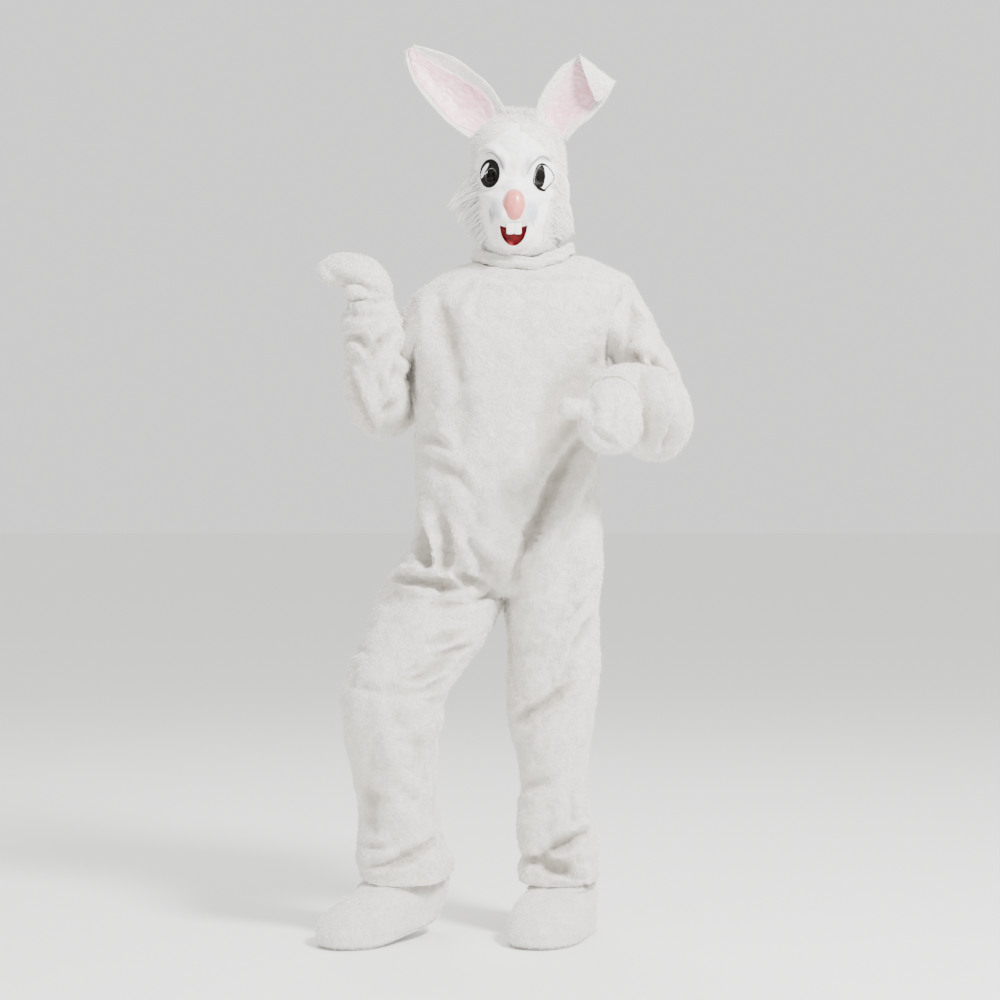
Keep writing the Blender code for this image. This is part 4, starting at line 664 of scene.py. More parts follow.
COLLAR = table(
    "rise out",
    [(0.0, 0.0), (0.003, 0.0030), (0.008, 0.0058), (0.013, 0.0052), (0.017, 0.0034), (0.021, 0.0030),
     (0.0255, 0.0012), (0.0285, -0.0035)],
)
COLLAR_STEPS = 28
neck = np.concatenate([
    quarters[1, "back"][-1], quarters[-1, "back"][-1][-2::-1], quarters[-1, "front"][-1][1:],
    quarters[1, "front"][-1][-2:0:-1],
])
seam_line = body.points[neck]
neck_middle = seam_line.mean(axis=0)
outwards = unit((seam_line - neck_middle) * [1, 1, 0])
slump = rumple(seam_line, 0.045, 6)
rolls = []
for step in range(COLLAR_STEPS + 1):
    line = table_row(COLLAR, step * (len(COLLAR["rise"]) - 1) / COLLAR_STEPS)
    share = step / COLLAR_STEPS
    rise = line["rise"] * (1 + 0.16 * slump * share)
    out = line["out"] + 0.0040 * slump * math.sin(math.pi * min(share * 1.2, 1))
    rolls.append(seam_line + outwards * out[:, None] + np.outer(rise, [0, 0, 1]))
collar = sewn(rolls, closed=True)
slanted = collar.points @ np.array([[1.0, 0, 0.3], [0, 1, 0], [0.15, 0, 3.6]])
collar.raise_by(0.0040 * rumple(slanted, 0.040, 7) + 0.0022 * rumple(slanted * 0.9, 0.019, 8))
points, faces, depth = collar.wall(0.003)
# Its folds take the painted crease shade more strongly.
made = piece("collar_band", jumpsuit_plush, points, faces, depth * 1.6)
fuzz = pile("collar_pile", collar.points, collar.faces, 2600, 0.005, 0.0007, DOWN, 12, depth=collar.depth)
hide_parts("collar")
for part in (made, fuzz):
    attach(part, "root")


# The mitts: two mitten halves of plush and a thumb each, sewn round the edge and turned, with a little
# filling in the palm. The left hangs with its back to the front, and the right is raised with its fingers
# folded over.

LEFT_MITT = table(
    "x y z across deep",
    [
        (0.200, -0.222, -0.303, 0.050, 0.052),
        (0.194, -0.250, -0.311, 0.052, 0.056),
        (0.187, -0.276, -0.328, 0.048, 0.060),
        (0.182, -0.289, -0.353, 0.042, 0.061),
        (0.178, -0.290, -0.378, 0.036, 0.056),
        (0.174, -0.287, -0.394, 0.026, 0.042),
        (0.172, -0.284, -0.404, 0.012, 0.020),
    ],
)
LEFT_THUMB = table(
    "x y z across deep",
    [
        (0.170, -0.270, -0.320, 0.018, 0.018),
        (0.140, -0.288, -0.322, 0.019, 0.019),
        (0.110, -0.296, -0.319, 0.019, 0.020),
        (0.092, -0.298, -0.318, 0.018, 0.018),
        (0.084, -0.298, -0.318, 0.009, 0.009),
    ],
)
RIGHT_MITT = table(
    "x y z across deep",
    [
        (-0.308, -0.071, -0.122, 0.042, 0.042),
        (-0.303, -0.072, -0.090, 0.041, 0.0447),
        (-0.296, -0.074, -0.062, 0.041, 0.040),
        (-0.309, -0.077, -0.037, 0.042, 0.036),
        (-0.338, -0.081, -0.025, 0.043, 0.036),
        (-0.370, -0.083, -0.026, 0.041, 0.034),
        (-0.397, -0.084, -0.031, 0.030, 0.024),
        (-0.408, -0.084, -0.034, 0.013, 0.011),
    ],
)
RIGHT_THUMB = table(
    "x y z across deep",
    [
        (-0.296, -0.080, -0.078, 0.018, 0.015),
        (-0.315, -0.105, -0.079, 0.018, 0.015),
        (-0.334, -0.122, -0.073, 0.016, 0.014),
        (-0.346, -0.128, -0.069, 0.008, 0.007),
    ],
)
MITT_FOLDS = fold_table([
    # back of the left hand
    (-1, 190, -262, 196, -300, 186, -352, -5, 10), (-1, 214, -285, 226, -330, 206, -378, -5, 9),
    # where its fingers curl under
    (-1, 150, -362, 172, -384, 200, -392, -6, 7),
    # root of its thumb
    (-1, 144, -300, 150, -318, 146, -338, -5, 7),
    # palm of the right hand
    (-1, -395, -20, -372, -48, -345, -50, -6, 8), (-1, -360, -12, -330, -30, -300, -60, 4, 12),
    (-1, -320, -55, -300, -75, -268, -78, -5, 7), (-1, -330, -88, -300, -94, -265, -86, -4, 5),
])
MITT_RING, MITT_STEPS = 56, 8
MITT_CROWN = 0.003      # how far the closed end stands out


def carried_frames(line, across):
    """(across, out) at each point of a line, turned as little as possible from one to the next."""
    frames = []
    for i in range(len(line)):
        along = unit(line[min(i + 1, len(line) - 1)] - line[max(i - 1, 0)])
        across = unit(across - along * (across @ along))
        frames.append((across, np.cross(along, across)))
    return frames


def pouch(rows, name):
    """A closed form through a table of rings."""
    line = np.stack([rows["x"], rows["y"], rows["z"]], axis=1)
    turns = np.arange(MITT_RING) * 2 * math.pi / MITT_RING
    rings = []
    for i, (front, out) in enumerate(carried_frames(line, np.array([0.0, -1.0, 0.3]))):
        rings.append(line[i] + np.outer(np.cos(turns), out) * rows["deep"][i]
                     + np.outer(np.sin(turns), front) * rows["across"][i])
    flat = np.array(rings).reshape(len(rings), -1)
    count = MITT_STEPS * (len(rings) - 1)
    grid = [curve_through(flat, n * (len(rings) - 1) / count).reshape(-1, 3) for n in range(count + 1)]
    ends = [grid[0].mean(axis=0), grid[-1].mean(axis=0) + unit(line[-1] - line[-2]) * MITT_CROWN]
    first, last = [np.tile(end, (MITT_RING, 1)) for end in ends]
    form = sewn([first, *grid, last], closed=True)
    if (form.points * cloth_normals(form.points, form.faces)).sum() < 0:
        form.faces = form.faces[:, ::-1]
    return piece(name, jumpsuit_plush, form.points, form.faces)


def applied(target):
    """Keeps what a piece's modifiers make as its mesh."""
    graph = bpy.context.evaluated_depsgraph_get()
    target.data = bpy.data.meshes.new_from_object(target.evaluated_get(graph))
    target.modifiers.clear()


mitt_trees = {}
for word, hand_table, thumb_table in (("left", LEFT_MITT, LEFT_THUMB), ("right", RIGHT_MITT, RIGHT_THUMB)):
    hand, thumb = pouch(hand_table, f"hand_{word}"), pouch(thumb_table, f"thumb_{word}")
    joined = hand.modifiers.new("thumb", "BOOLEAN")
    joined.operation = "UNION"
    joined.object = thumb
    even = hand.modifiers.new("even", "REMESH")
    even.mode = "VOXEL"
    even.voxel_size = 0.0026
    soft = hand.modifiers.new("soft", "SMOOTH")
    soft.factor, soft.iterations = 0.5, 6
    applied(hand)
    points = np.array([v.co[:] for v in hand.data.vertices])
    faces = np.array([f.vertices[:] for f in hand.data.polygons])
    for old in (hand, thumb):
        bpy.data.objects.remove(old)
    wrist, palm = [np.array([hand_table[axis][i] for axis in "xyz"]) for i in (0, 1)]
    forward = unit(palm - wrist)
    kept = ((points[faces].mean(axis=1) - wrist) @ forward) > 0.003
    mitt = Cloth()
    mitt.grids, mitt.quads, mitt.panels = [points], [faces[kept]], ["all"] * int(kept.sum())
    mitt.sew()
    normal = cloth_normals(mitt.points, mitt.faces)
    seam_side = np.abs(normal[:, 1] * 0.9 + 0.15)
    seam = -0.0016 * np.exp(-((seam_side / 0.10) ** 2)) * smooth(((mitt.points - wrist) @ forward) / 0.02)
    mitt.raise_by(seam + fold_heights(MITT_FOLDS, mitt.points, normal))
    mitt.raise_by(0.0028 * rumple(mitt.points, 0.034, 23) + 0.0013 * rumple(mitt.points, 0.014, 24))
    mitt_trees[word] = mitt.tree()
    made = piece(f"mitt_{word}_plush", jumpsuit_plush, *mitt.wall(0.003))
    fuzz = pile(f"mitt_{word}_pile", mitt.points, mitt.faces, 9000, 0.0065, 0.0010, DOWN, 25,
                depth=mitt.depth)
    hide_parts(f"mitt_{word}")
    for part in (made, fuzz):
        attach(part, "root")


# The sleeves: one piece each with its seam under the arm, set into the armhole and wide at the cuff. They are
# cut long, so that they crumple above the elbow and stand in deep ridges where the arm bends.

SLEEVE_CLEAR = 0.010
SLEEVE_ROWS = 84
LEFT_ARM = table(
    "x y z across deep",
    [
        (0.268, 0.006, -0.208, 0.084, 0.062),
        (0.274, 0.002, -0.266, 0.087, 0.075),
        (0.284, -0.024, -0.318, 0.088, 0.082),     # elbow
        (0.278, -0.078, -0.330, 0.086, 0.082),
        (0.254, -0.135, -0.318, 0.083, 0.078),
        (0.224, -0.190, -0.300, 0.079, 0.075),
        (0.196, -0.243, -0.306, 0.068, 0.070),     # cuff
    ],
)
RIGHT_ARM = table(
    "x y z across deep",
    [
        (-0.262, 0.026, -0.200, 0.078, 0.046),
        (-0.264, 0.070, -0.256, 0.062, 0.052),
        (-0.270, 0.080, -0.302, 0.060, 0.060),     # elbow
        (-0.282, 0.025, -0.310, 0.064, 0.064),
        (-0.288, -0.028, -0.286, 0.066, 0.065),
        (-0.291, -0.055, -0.240, 0.066, 0.065),
        (-0.295, -0.066, -0.190, 0.063, 0.064),
        (-0.302, -0.070, -0.143, 0.063, 0.063),
        (-0.312, -0.072, -0.098, 0.062, 0.064),    # cuff
    ],
)

# at is the line of the arm table. turn is the place round it in degrees: 0 outside, 90 front, 180 towards the
# body. spread is how far round the fold runs, and slant how far along it moves with the turn.
LEFT_SLEEVE_FOLDS = table(
    "at turn spread slant depth width",
    [
        (0.5, 100, 50, 0.2, -0.005, 0.16),
        (1.3, 150, 70, 0.4, -0.010, 0.26),
        (1.8, 140, 60, 0.3, 0.006, 0.22),
        (2.35, 150, 75, 0.1, -0.012, 0.22),
        (3.10, 150, 70, 0.0, -0.010, 0.20),
        (3.95, 150, 70, -0.2, -0.010, 0.20),
        (3.30, 290, 60, 0.2, -0.010, 0.20),
        (3.75, 300, 60, 0.0, 0.007, 0.20),
        (4.25, 290, 60, -0.2, -0.009, 0.20),
        (5.10, 120, 70, 0.2, -0.004, 0.16),
        (5.86, 0, 400, 0.0, -0.0016, 0.05),        # the hem's stitching
    ],
)
RIGHT_SLEEVE_FOLDS = table(
    "at turn spread slant depth width",
    [
        (1.4, 60, 60, 0.3, -0.007, 0.25),
        (2.3, 110, 80, 0.3, -0.010, 0.28),
        (2.9, 90, 70, 0.3, 0.006, 0.25),
        (3.5, 100, 80, 0.4, -0.009, 0.22),
        (4.2, 120, 80, 0.5, -0.012, 0.22),
        (4.7, 80, 60, -0.5, 0.006, 0.22),
        (5.2, 60, 70, -0.7, -0.009, 0.22),
        (5.8, 110, 60, 0.6, -0.008, 0.20),
        (6.2, 70, 60, 0.5, 0.005, 0.20),
        (6.6, 90, 110, 0.6, -0.009, 0.18),
        (7.0, 60, 80, -0.3, -0.006, 0.16),
        (7.35, 80, 110, 0.3, 0.006, 0.16),
        (7.62, 90, 400, 0.0, -0.0035, 0.09),       # where the cuff's elastic gathers it
    ],
)


# Creases as seen from the front, as on the body.
SLEEVE_CREASES = fold_table([
    # left, beside the armhole
    (-1, 250, -80, 250, -130, 226, -194, -10, 9), (-1, 272, -100, 276, -150, 262, -200, 5, 14),
    # left, above the cuff
    (-1, 220, -206, 255, -202, 312, -236, -9, 9), (-1, 300, -130, 318, -190, 330, -230, -5, 12),
    # left, ridges beside the cuff
    (-1, 256, -225, 272, -300, 258, -385, -14, 8), (-1, 262, -205, 300, -260, 280, -395, 16, 9),
    (-1, 285, -215, 322, -285, 302, -400, -20, 8), (-1, 308, -225, 342, -300, 322, -400, 12, 8),
    (-1, 326, -245, 362, -325, 334, -400, -15, 7),
    # right, below the cuff
    (-1, -352, -164, -322, -166, -298, -204, -10, 9), (-1, -302, -206, -285, -180, -248, -152, -11, 8),
    (-1, -345, -180, -320, -184, -308, -206, 6, 9),
    # right, down the forearm
    (-1, -350, -225, -322, -310, -296, -358, -10, 8), (-1, -330, -235, -305, -305, -280, -350, 6, 10),
    (-1, -256, -262, -248, -235, -243, -205, -8, 7), (-1, -290, -236, -282, -262, -272, -284, -5, 6),
    (-1, -274, -322, -262, -310, -252, -296, -10, 7),
    # right, the cuff's gathers
    (-1, -372, -118, -320, -128, -262, -116, -5, 6), (-1, -352, -136, -318, -142, -270, -134, 4, 6),
    (-1, -340, -100, -336, -118, -340, -134, -3, 4), (-1, -300, -98, -296, -114, -300, -128, -3, 4),
    # backs of the upper sleeves
    (1, 215, -110, 250, -170, 262, -240, -9, 14), (1, 270, -250, 310, -270, 340, -320, -10, 12),
    (1, -215, -110, -245, -180, -250, -250, -9, 14), (1, -230, -270, -270, -290, -300, -320, -10, 12),
])
CUFF_REACH = 0.034      # how far back from its hem a cuff closes in on the mitt
CUFF_EASE = PLUSH + 0.0012
CUFF_RADIUS = 0.095
SLEEVE_SCALE = 1.55


def sleeve_heights(folds, position, turns):
    """How far a sleeve's folds move the points of one ring."""
    total = np.zeros(len(turns))
    for fold in lines_of(folds):
        round_it = (turns - fold["turn"] + 180) % 360 - 180
        along = (position - fold["at"] - fold["slant"] * round_it / 90) / fold["width"]
        shape = np.exp(-(along**2)) - 0.25 * np.exp(-(((np.abs(along) - 1.9) / 0.8) ** 2))
        total += fold["depth"] * shape * np.exp(-((round_it / fold["spread"]) ** 2))
    return total


body_tree = body.tree()
for side, arm, folds in ((1, LEFT_ARM, LEFT_SLEEVE_FOLDS), (-1, RIGHT_ARM, RIGHT_SLEEVE_FOLDS)):
    word = "left" if side > 0 else "right"
    front_edge = quarters[side, "front"][shoulder_row:underarm_row:-1, 0]
    back_edge = quarters[side, "back"][underarm_row:shoulder_row, 0]
    armhole = body.points[np.concatenate([front_edge, back_edge])]
    turns = np.arange(len(armhole)) * 360 / len(armhole)
    line = np.stack([arm["x"], arm["y"], arm["z"]], axis=1)
    rings = [armhole]
    for i, (front, out) in enumerate(carried_frames(line, np.array([0.0, -1.0, 0.0]))):
        away = np.outer(np.cos(np.radians(turns)), out * -side) * arm["deep"][i]
        rings.append(line[i] + away + np.outer(np.sin(np.radians(turns)), front) * arm["across"][i])
    rings = np.array(rings)
    grid = [armhole]
    for number in range(1, SLEEVE_ROWS + 1):
        position = number * (len(rings) - 1) / SLEEVE_ROWS
        ring = curve_through(rings.reshape(len(rings), -1), position).reshape(-1, 3)
        away = unit(ring - ring.mean(axis=0))
        ring = ring + away * sleeve_heights(folds, position, turns)[:, None]
        clear = min(position * 0.008, SLEEVE_CLEAR)
        moved = []
        for spot in ring:
            near, out, _, _ = body_tree.find_nearest(Vector(spot))
            inside = (Vector(spot) - near).dot(out) <= clear
            moved.append(np.array(near + out * clear) if inside else spot)
        grid.append(np.array(moved))
    sleeve = sewn(grid, flip=side < 0, closed=True)
    free = smooth(np.array([body_tree.find_nearest(Vector(p))[3] for p in sleeve.points]) / 0.02)
    sleeve.relax(0.5 * (1 - free) * (free > 0), rounds=8)
    sleeve.relax(np.full(len(sleeve.points), 0.25) * (free > 0), rounds=2)
    normal = cloth_normals(sleeve.points, sleeve.faces)
    sleeve.raise_by(free * fold_heights(SLEEVE_CREASES, sleeve.points, normal, SLEEVE_SCALE))
    creased = 0.0036 * crumples(sleeve.points, 0.060, 60) + 0.0016 * crumples(sleeve.points, 0.032, 61)
    sleeve.raise_by(-free * creased)
    swell = 0.0034 * rumple(sleeve.points, 0.045, 8) + 0.0018 * rumple(sleeve.points, 0.023, 9)
    sleeve.raise_by(free * swell)
    sleeve.relax(np.full(len(sleeve.points), 0.18) * (free > 0), rounds=2)
    cuff = line[-1]
    behind = (cuff - sleeve.points) @ unit(line[-1] - line[-2])
    closing = smooth(1 - behind / CUFF_REACH) * (np.linalg.norm(sleeve.points - cuff, axis=1) < CUFF_RADIUS)
    closing *= smooth((sleeve.points[:, 2] - cuff[2] + 0.035) / 0.05) if side > 0 else 0.55
    for number in np.nonzero(closing > 0)[0]:
        near, out, _, _ = mitt_trees[word].find_nearest(Vector(sleeve.points[number]))
        snug = np.array(near + out * CUFF_EASE)
        sleeve.points[number] += (snug - sleeve.points[number]) * closing[number]
    made = piece(f"sleeve_{word}_cloth", jumpsuit_plush, *sleeve.wall(PLUSH))
    fuzz = pile(f"sleeve_{word}_pile", sleeve.points, sleeve.faces, 18000, 0.0075, 0.0010, DOWN, 13,
                depth=sleeve.depth)
    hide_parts(f"sleeve_{word}")
    for part in (made, fuzz):
        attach(part, "root")


# The moulded face of the mask: thin white latex with a satin skin, cast over a sculpted rabbit face. The eyes
# and the shadows round the muzzle and brows are painted on, and the eyes' pupils and the mouth are cut out.

HEAD = table(
    "zr zl zf zb xr xl yf yb square edge",
    [
        (-0.012, -0.012, -0.012, -0.012, -0.056, 0.076, -0.060, 0.060, 2.0, 40),
        (0.006, 0.006, -0.0024, 0.006, -0.060, 0.081, -0.0738, 0.061, 2.0, 40),
        (0.030, 0.030, 0.016, 0.030, -0.068, 0.088, -0.104, 0.064, 2.0, 42),    # chin, where the face starts
        (0.060, 0.060, 0.042, 0.058, -0.077, 0.093, -0.124, 0.080, 2.0, 54),
        (0.095, 0.095, 0.082, 0.092, -0.084, 0.095, -0.133, 0.096, 2.05, 62),
        (0.135, 0.135, 0.126, 0.130, -0.089, 0.099, -0.128, 0.110, 2.1, 66),
        (0.175, 0.175, 0.168, 0.172, -0.0925, 0.1025, -0.114, 0.115, 2.1, 66),  # eyes
        (0.215, 0.215, 0.212, 0.214, -0.0935, 0.1015, -0.112, 0.113, 2.1, 62),
        (0.250, 0.250, 0.250, 0.250, -0.0900, 0.0965, -0.102, 0.102, 2.1, 54),
        (0.278, 0.278, 0.280, 0.278, -0.072, 0.080, -0.080, 0.082, 2.1, 44),    # hairline, where it ends
        (0.298, 0.298, 0.300, 0.298, -0.046, 0.053, -0.050, 0.052, 2.0, 44),
        (0.311, 0.311, 0.312, 0.311, -0.018, 0.024, -0.020, 0.022, 2.0, 44),
    ],
)
CHIN, HAIRLINE = 2, 9
CROWN = (0.003, 0.001, 0.3145)
FACE_TURN = -0.012
FACE_COLUMNS, HOOD_COLUMNS = 72, 84
FACE_ROWS = 14          # for each line of the table

FACE_RELIEF = fold_table([
    # right brow
    (-1, -72, 214, -45, 240, -20, 180, 7.5, 7.5),
    # left brow
    (-1, 18, 172, 30, 222, 78, 206, 7.5, 7.5),
    # and the lid fold under each
    (-1, -66, 208, -46, 222, -28, 180, -3.5, 3.5), (-1, 26, 170, 38, 210, 74, 198, -3.5, 3.5),
    # eyeballs
    (-1, -54, 196, -54, 172, -54, 150, 4, 18), (-1, 55, 186, 56, 170, 55, 152, 4, 18),
    # under the eyes
    (-1, -80, 152, -58, 128, -32, 140, -5, 6.5), (-1, 34, 140, 58, 126, 80, 150, -5, 6.5),
    (-1, -74, 134, -56, 118, -36, 128, 3, 7), (-1, 38, 128, 58, 116, 76, 136, 3, 7),
    # crease between the eyes
    (-1, -22, 166, -3, 160, 16, 164, -3, 4),
    # bridge of the nose
    (-1, -4, 158, -4, 145, -4, 132, 5, 13),
    # muzzle
    (-1, -40, 106, -34, 82, -14, 74, 12, 14), (-1, 32, 106, 26, 82, 6, 74, 12, 14),
    # creases beside it
    (-1, -58, 104, -56, 80, -42, 60, -6, 5.5), (-1, 50, 104, 48, 80, 34, 60, -6, 5.5),
    # cheeks
    (-1, -70, 102, -68, 80, -58, 58, 5, 12), (-1, 64, 102, 62, 80, 52, 58, 5, 12),
    # lower lip
    (-1, -40, 62, -36, 20, -6, 14, 4.5, 6), (-1, 28, 62, 26, 20, -6, 14, 4.5, 6),
    # wrinkles of the forehead
    (-1, -50, 226, -20, 242, 4, 222, -1.8, 4), (-1, -58, 240, -30, 252, 0, 236, -1.5, 4),
    (-1, 16, 232, 26, 250, 30, 262, -1.5, 4), (-1, -30, 208, -12, 200, -8, 182, 2.5, 7),
    (-1, 20, 206, 4, 200, 0, 182, 2.5, 7),
    # crinkles by the left eye
    (-1, 62, 140, 70, 134, 80, 138, -2, 3), (-1, 64, 133, 72, 127, 80, 131, -2, 3),
])


def head_row(position):
    """A ring round the head: from the face's left edge, by the front, to the back."""
    ring = table_row(HEAD, position)
    edge = math.radians(ring["edge"])
    face_angles = -math.pi / 2 + edge * (1 - 2 * np.arange(FACE_COLUMNS + 1) / FACE_COLUMNS)
    back_share = np.arange(1, HOOD_COLUMNS) / HOOD_COLUMNS
    back_angles = -math.pi / 2 - edge - (2 * math.pi - 2 * edge) * back_share
    angle = np.concatenate([face_angles, back_angles])
    points = ring_points(ring, angle)
    points[:, 0] += FACE_TURN * np.maximum(-np.sin(angle), 0) ** 2 * smooth((ring["zf"] + 0.01) / 0.04)
    return points


head = Cloth()
neck_rows = [head_row(CHIN * i / 20) for i in range(21)]
face_rows = [head_row(CHIN + i / FACE_ROWS) for i in range(FACE_ROWS * (HAIRLINE - CHIN) + 1)]
crown_rows = [head_row(HAIRLINE + i / 10) for i in range(21)]
head.patch("hood", neck_rows, flip=True, closed=True)
head.patch("face", [row[: FACE_COLUMNS + 1] for row in face_rows], flip=True)
head.patch("hood", [np.vstack([row[FACE_COLUMNS:], row[:1]]) for row in face_rows], flip=True)
head.patch("hood", [*crown_rows, np.tile(CROWN, (len(crown_rows[0]), 1))], flip=True, closed=True)
head.sew()
head.raise_by(fold_heights(FACE_RELIEF, head.points, cloth_normals(head.points, head.faces)))
on_face = np.zeros(len(head.points))
on_face[np.unique(head.faces[head.panels == "face"])] = 1
furry = 0.0018 * rumple(head.points, 0.020, 15) + 0.0010 * rumple(head.points, 0.010, 16)
head.raise_by(on_face * 0.0006 * rumple(head.points, 0.012, 14) + (1 - on_face) * furry)

# A painted shadow: a soft oval seen from the front.
painted_shadow, shadow_in, shadow_out = new_group(
    "painted_shadow",
    {
        "Across": ("NodeSocketFloat", 0.0),
        "Up": ("NodeSocketFloat", 0.0),
        "Half Width": ("NodeSocketFloat", 0.01),
        "Half Height": ("NodeSocketFloat", 0.01),
        "Strength": ("NodeSocketFloat", 1.0),
    },
    {"Mask": "NodeSocketFloat"},
)
shadow_place = add_node(painted_shadow, "ShaderNodeTexCoord")
shadow_split = add_node(painted_shadow, "ShaderNodeSeparateXYZ", Vector=shadow_place.outputs["Object"])
squares = []
for axis, centre, half in (("X", "Across", "Half Width"), ("Z", "Up", "Half Height")):
    off = worked_out(painted_shadow, "SUBTRACT", shadow_split.outputs[axis], shadow_in.outputs[centre])
    share = worked_out(painted_shadow, "DIVIDE", off, shadow_in.outputs[half])
    squares.append(worked_out(painted_shadow, "MULTIPLY", share, share))
shadow_far = worked_out(painted_shadow, "ADD", *squares)
shadow_soft = ranged(painted_shadow, shadow_far, 0.0, 1.0, 1.0, 0.0, "SMOOTHSTEP")
shadow_mask = worked_out(painted_shadow, "MULTIPLY", shadow_soft, shadow_in.outputs["Strength"])
painted_shadow.links.new(shadow_mask, shadow_out.inputs["Mask"])

FACE_SHADOWS = table(
    "x z wide high red green blue strength",
    [
        (-0.039, 0.097, 0.015, 0.030, 0.36, 0.41, 0.49, 0.70),     # muzzle
        (0.032, 0.091, 0.017, 0.028, 0.36, 0.41, 0.49, 0.70),
        (-0.050, 0.080, 0.008, 0.016, 0.26, 0.28, 0.32, 0.60),
        (-0.004, 0.062, 0.022, 0.010, 0.48, 0.46, 0.47, 0.55),     # under the nose
        (-0.029, 0.192, 0.009, 0.026, 0.34, 0.34, 0.38, 0.55),     # inner brows
        (0.026, 0.184, 0.009, 0.026, 0.34, 0.34, 0.38, 0.55),
        (-0.060, 0.218, 0.024, 0.010, 0.50, 0.43, 0.44, 0.50),
        (0.058, 0.208, 0.026, 0.010, 0.50, 0.43, 0.44, 0.50),
        (-0.004, 0.150, 0.030, 0.020, 1.0, 1.0, 1.0, 0.5),         # bare white bridge
        (-0.072, 0.262, 0.030, 0.030, 0.84, 0.70, 0.66, 0.5),      # pink at the ears' roots
        (0.072, 0.262, 0.030, 0.030, 0.86, 0.74, 0.70, 0.4),
    ],
)
face_latex, tree, shader = new_material("face_latex", Specular_IOR_Level=0.4, Subsurface_Weight=0.08,
                                        Subsurface_Radius=(0.004, 0.003, 0.002))
mottle = noise_of(tree, Scale=34.0, Detail=4.0, Roughness=0.6)
tinge = ranged(tree, mottle, 0.35, 0.7, 0.0, 0.8)
skin = blend_colour(tree, tinge, (0.93, 0.905, 0.885, 1), (0.89, 0.845, 0.83, 1))
for shadow in lines_of(FACE_SHADOWS):
    mask = add_node(
        tree, "ShaderNodeGroup", {"node_tree": painted_shadow}, Across=shadow["x"], Up=shadow["z"],
        Half_Width=shadow["wide"], Half_Height=shadow["high"], Strength=shadow["strength"],
    )
    skin = blend_colour(tree, mask.outputs["Mask"], skin, (shadow["red"], shadow["green"], shadow["blue"], 1))
pores = noise_of(tree, Scale=900.0, Detail=2.0)
grain = add_node(tree, "ShaderNodeBump", Height=pores, Strength=0.12, Distance=0.0006)
tree.links.new(skin, shader.inputs["Base Color"])
tree.links.new(ranged(tree, mottle, 0.3, 0.7, 0.42, 0.58), shader.inputs["Roughness"])
tree.links.new(grain.outputs[0], shader.inputs["Normal"])

EYE_HOLES = table("x z wide high", [(-0.0515, 0.1665, 0.0120, 0.0155), (0.0500, 0.1670, 0.0095, 0.0145)])
CUT_FRONT, CUT_BACK = -0.20, -0.02      # how deep the cuts for the eyes and mouth go
MOUTH = {"x": -0.006, "corner_z": 0.063, "wide": 0.028, "drop": 0.041, "lip_z": 0.057, "curl": 0.006}


def oval(x, z, wide, high, count=48):
    turns = np.arange(count) * 2 * math.pi / count
    return np.stack([x + wide * np.cos(turns), z + high * np.sin(turns)], axis=1)


def mouth_outline(scale=1.0, count=28):
    """The open mouth: a deep lower lip, and an upper lip that curls up to the corners."""
    u = np.sin(np.linspace(-math.pi / 2, math.pi / 2, count))
    lower = MOUTH["corner_z"] - MOUTH["drop"] * np.sqrt(np.maximum(1 - u**2, 0))
    upper = MOUTH["lip_z"] + MOUTH["curl"] * u**2
    x = MOUTH["x"] + MOUTH["wide"] * u
    outline = np.vstack([np.stack([x, lower], axis=1), np.stack([x, upper], axis=1)[-2:0:-1]])
    middle = np.array([MOUTH["x"], MOUTH["lip_z"] - MOUTH["drop"] * 0.35])
    return middle + (outline - middle) * scale


def cut_through(target, outline):
    """Cuts an outline seen from the front out of the face."""
    count = len(outline)
    points = [(x, y, z) for y in (CUT_FRONT, CUT_BACK) for x, z in outline]
    data = bpy.data.meshes.new("cut")
    walls = [[i, (i + 1) % count, (i + 1) % count + count, i + count] for i in range(count)]
    data.from_pydata(points, [], [list(range(count))[::-1], list(range(count, 2 * count)), *walls])
    mesh = bmesh.new()
    mesh.from_mesh(data)
    bmesh.ops.recalc_face_normals(mesh, faces=mesh.faces)
    mesh.to_mesh(data)
    mesh.free()
    cutter = bpy.data.objects.new("cut", data)
    bpy.context.scene.collection.objects.link(cutter)
    modifier = target.modifiers.new("cut", "BOOLEAN")
    modifier.object = cutter
    modifier.solver = "EXACT"
    applied(target)
    bpy.data.objects.remove(cutter)


head_tree = head.tree()
face = piece("mask_face_latex", face_latex, *head.wall(0.0022, "face", tuck=0.0008)[:2], sharp=40)
cut_through(face, mouth_outline())
for hole in lines_of(EYE_HOLES):
    cut_through(face, oval(**hole))
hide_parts("mask_face")
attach(face, "root")


def front_of(x, z):
    """The place and normal of the head's surface straight behind a point in front of it."""
    spot, out, _, _ = head_tree.ray_cast(Vector((x, -1.0, z)), Vector((0, 1, 0)))
    return np.array(spot), np.array(out)


def paint_coat(name, inner, outer, material, steps=10, lift=0.0005, thick=0.0004):
    """A coat of paint on the face between two outlines, or over all of one outline where inner is a point."""
    inner = np.broadcast_to(inner, np.shape(outer))
    rows = []
    for share in np.linspace(0, 1, steps + 1):
        row = []
        for x, z in inner * (1 - share) + np.asarray(outer) * share:
            spot, out = front_of(x, z)
            row.append(spot + out * lift)
        rows.append(row)
    coat = sewn(rows, closed=True)
    if face_normals(coat.points, coat.faces)[:, 1].mean() > 0:
        coat.faces = coat.faces[:, ::-1]
    made = piece(name, material, *coat.wall(thick, tuck=0.0, gap=0.0)[:2])
    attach(made, "root")


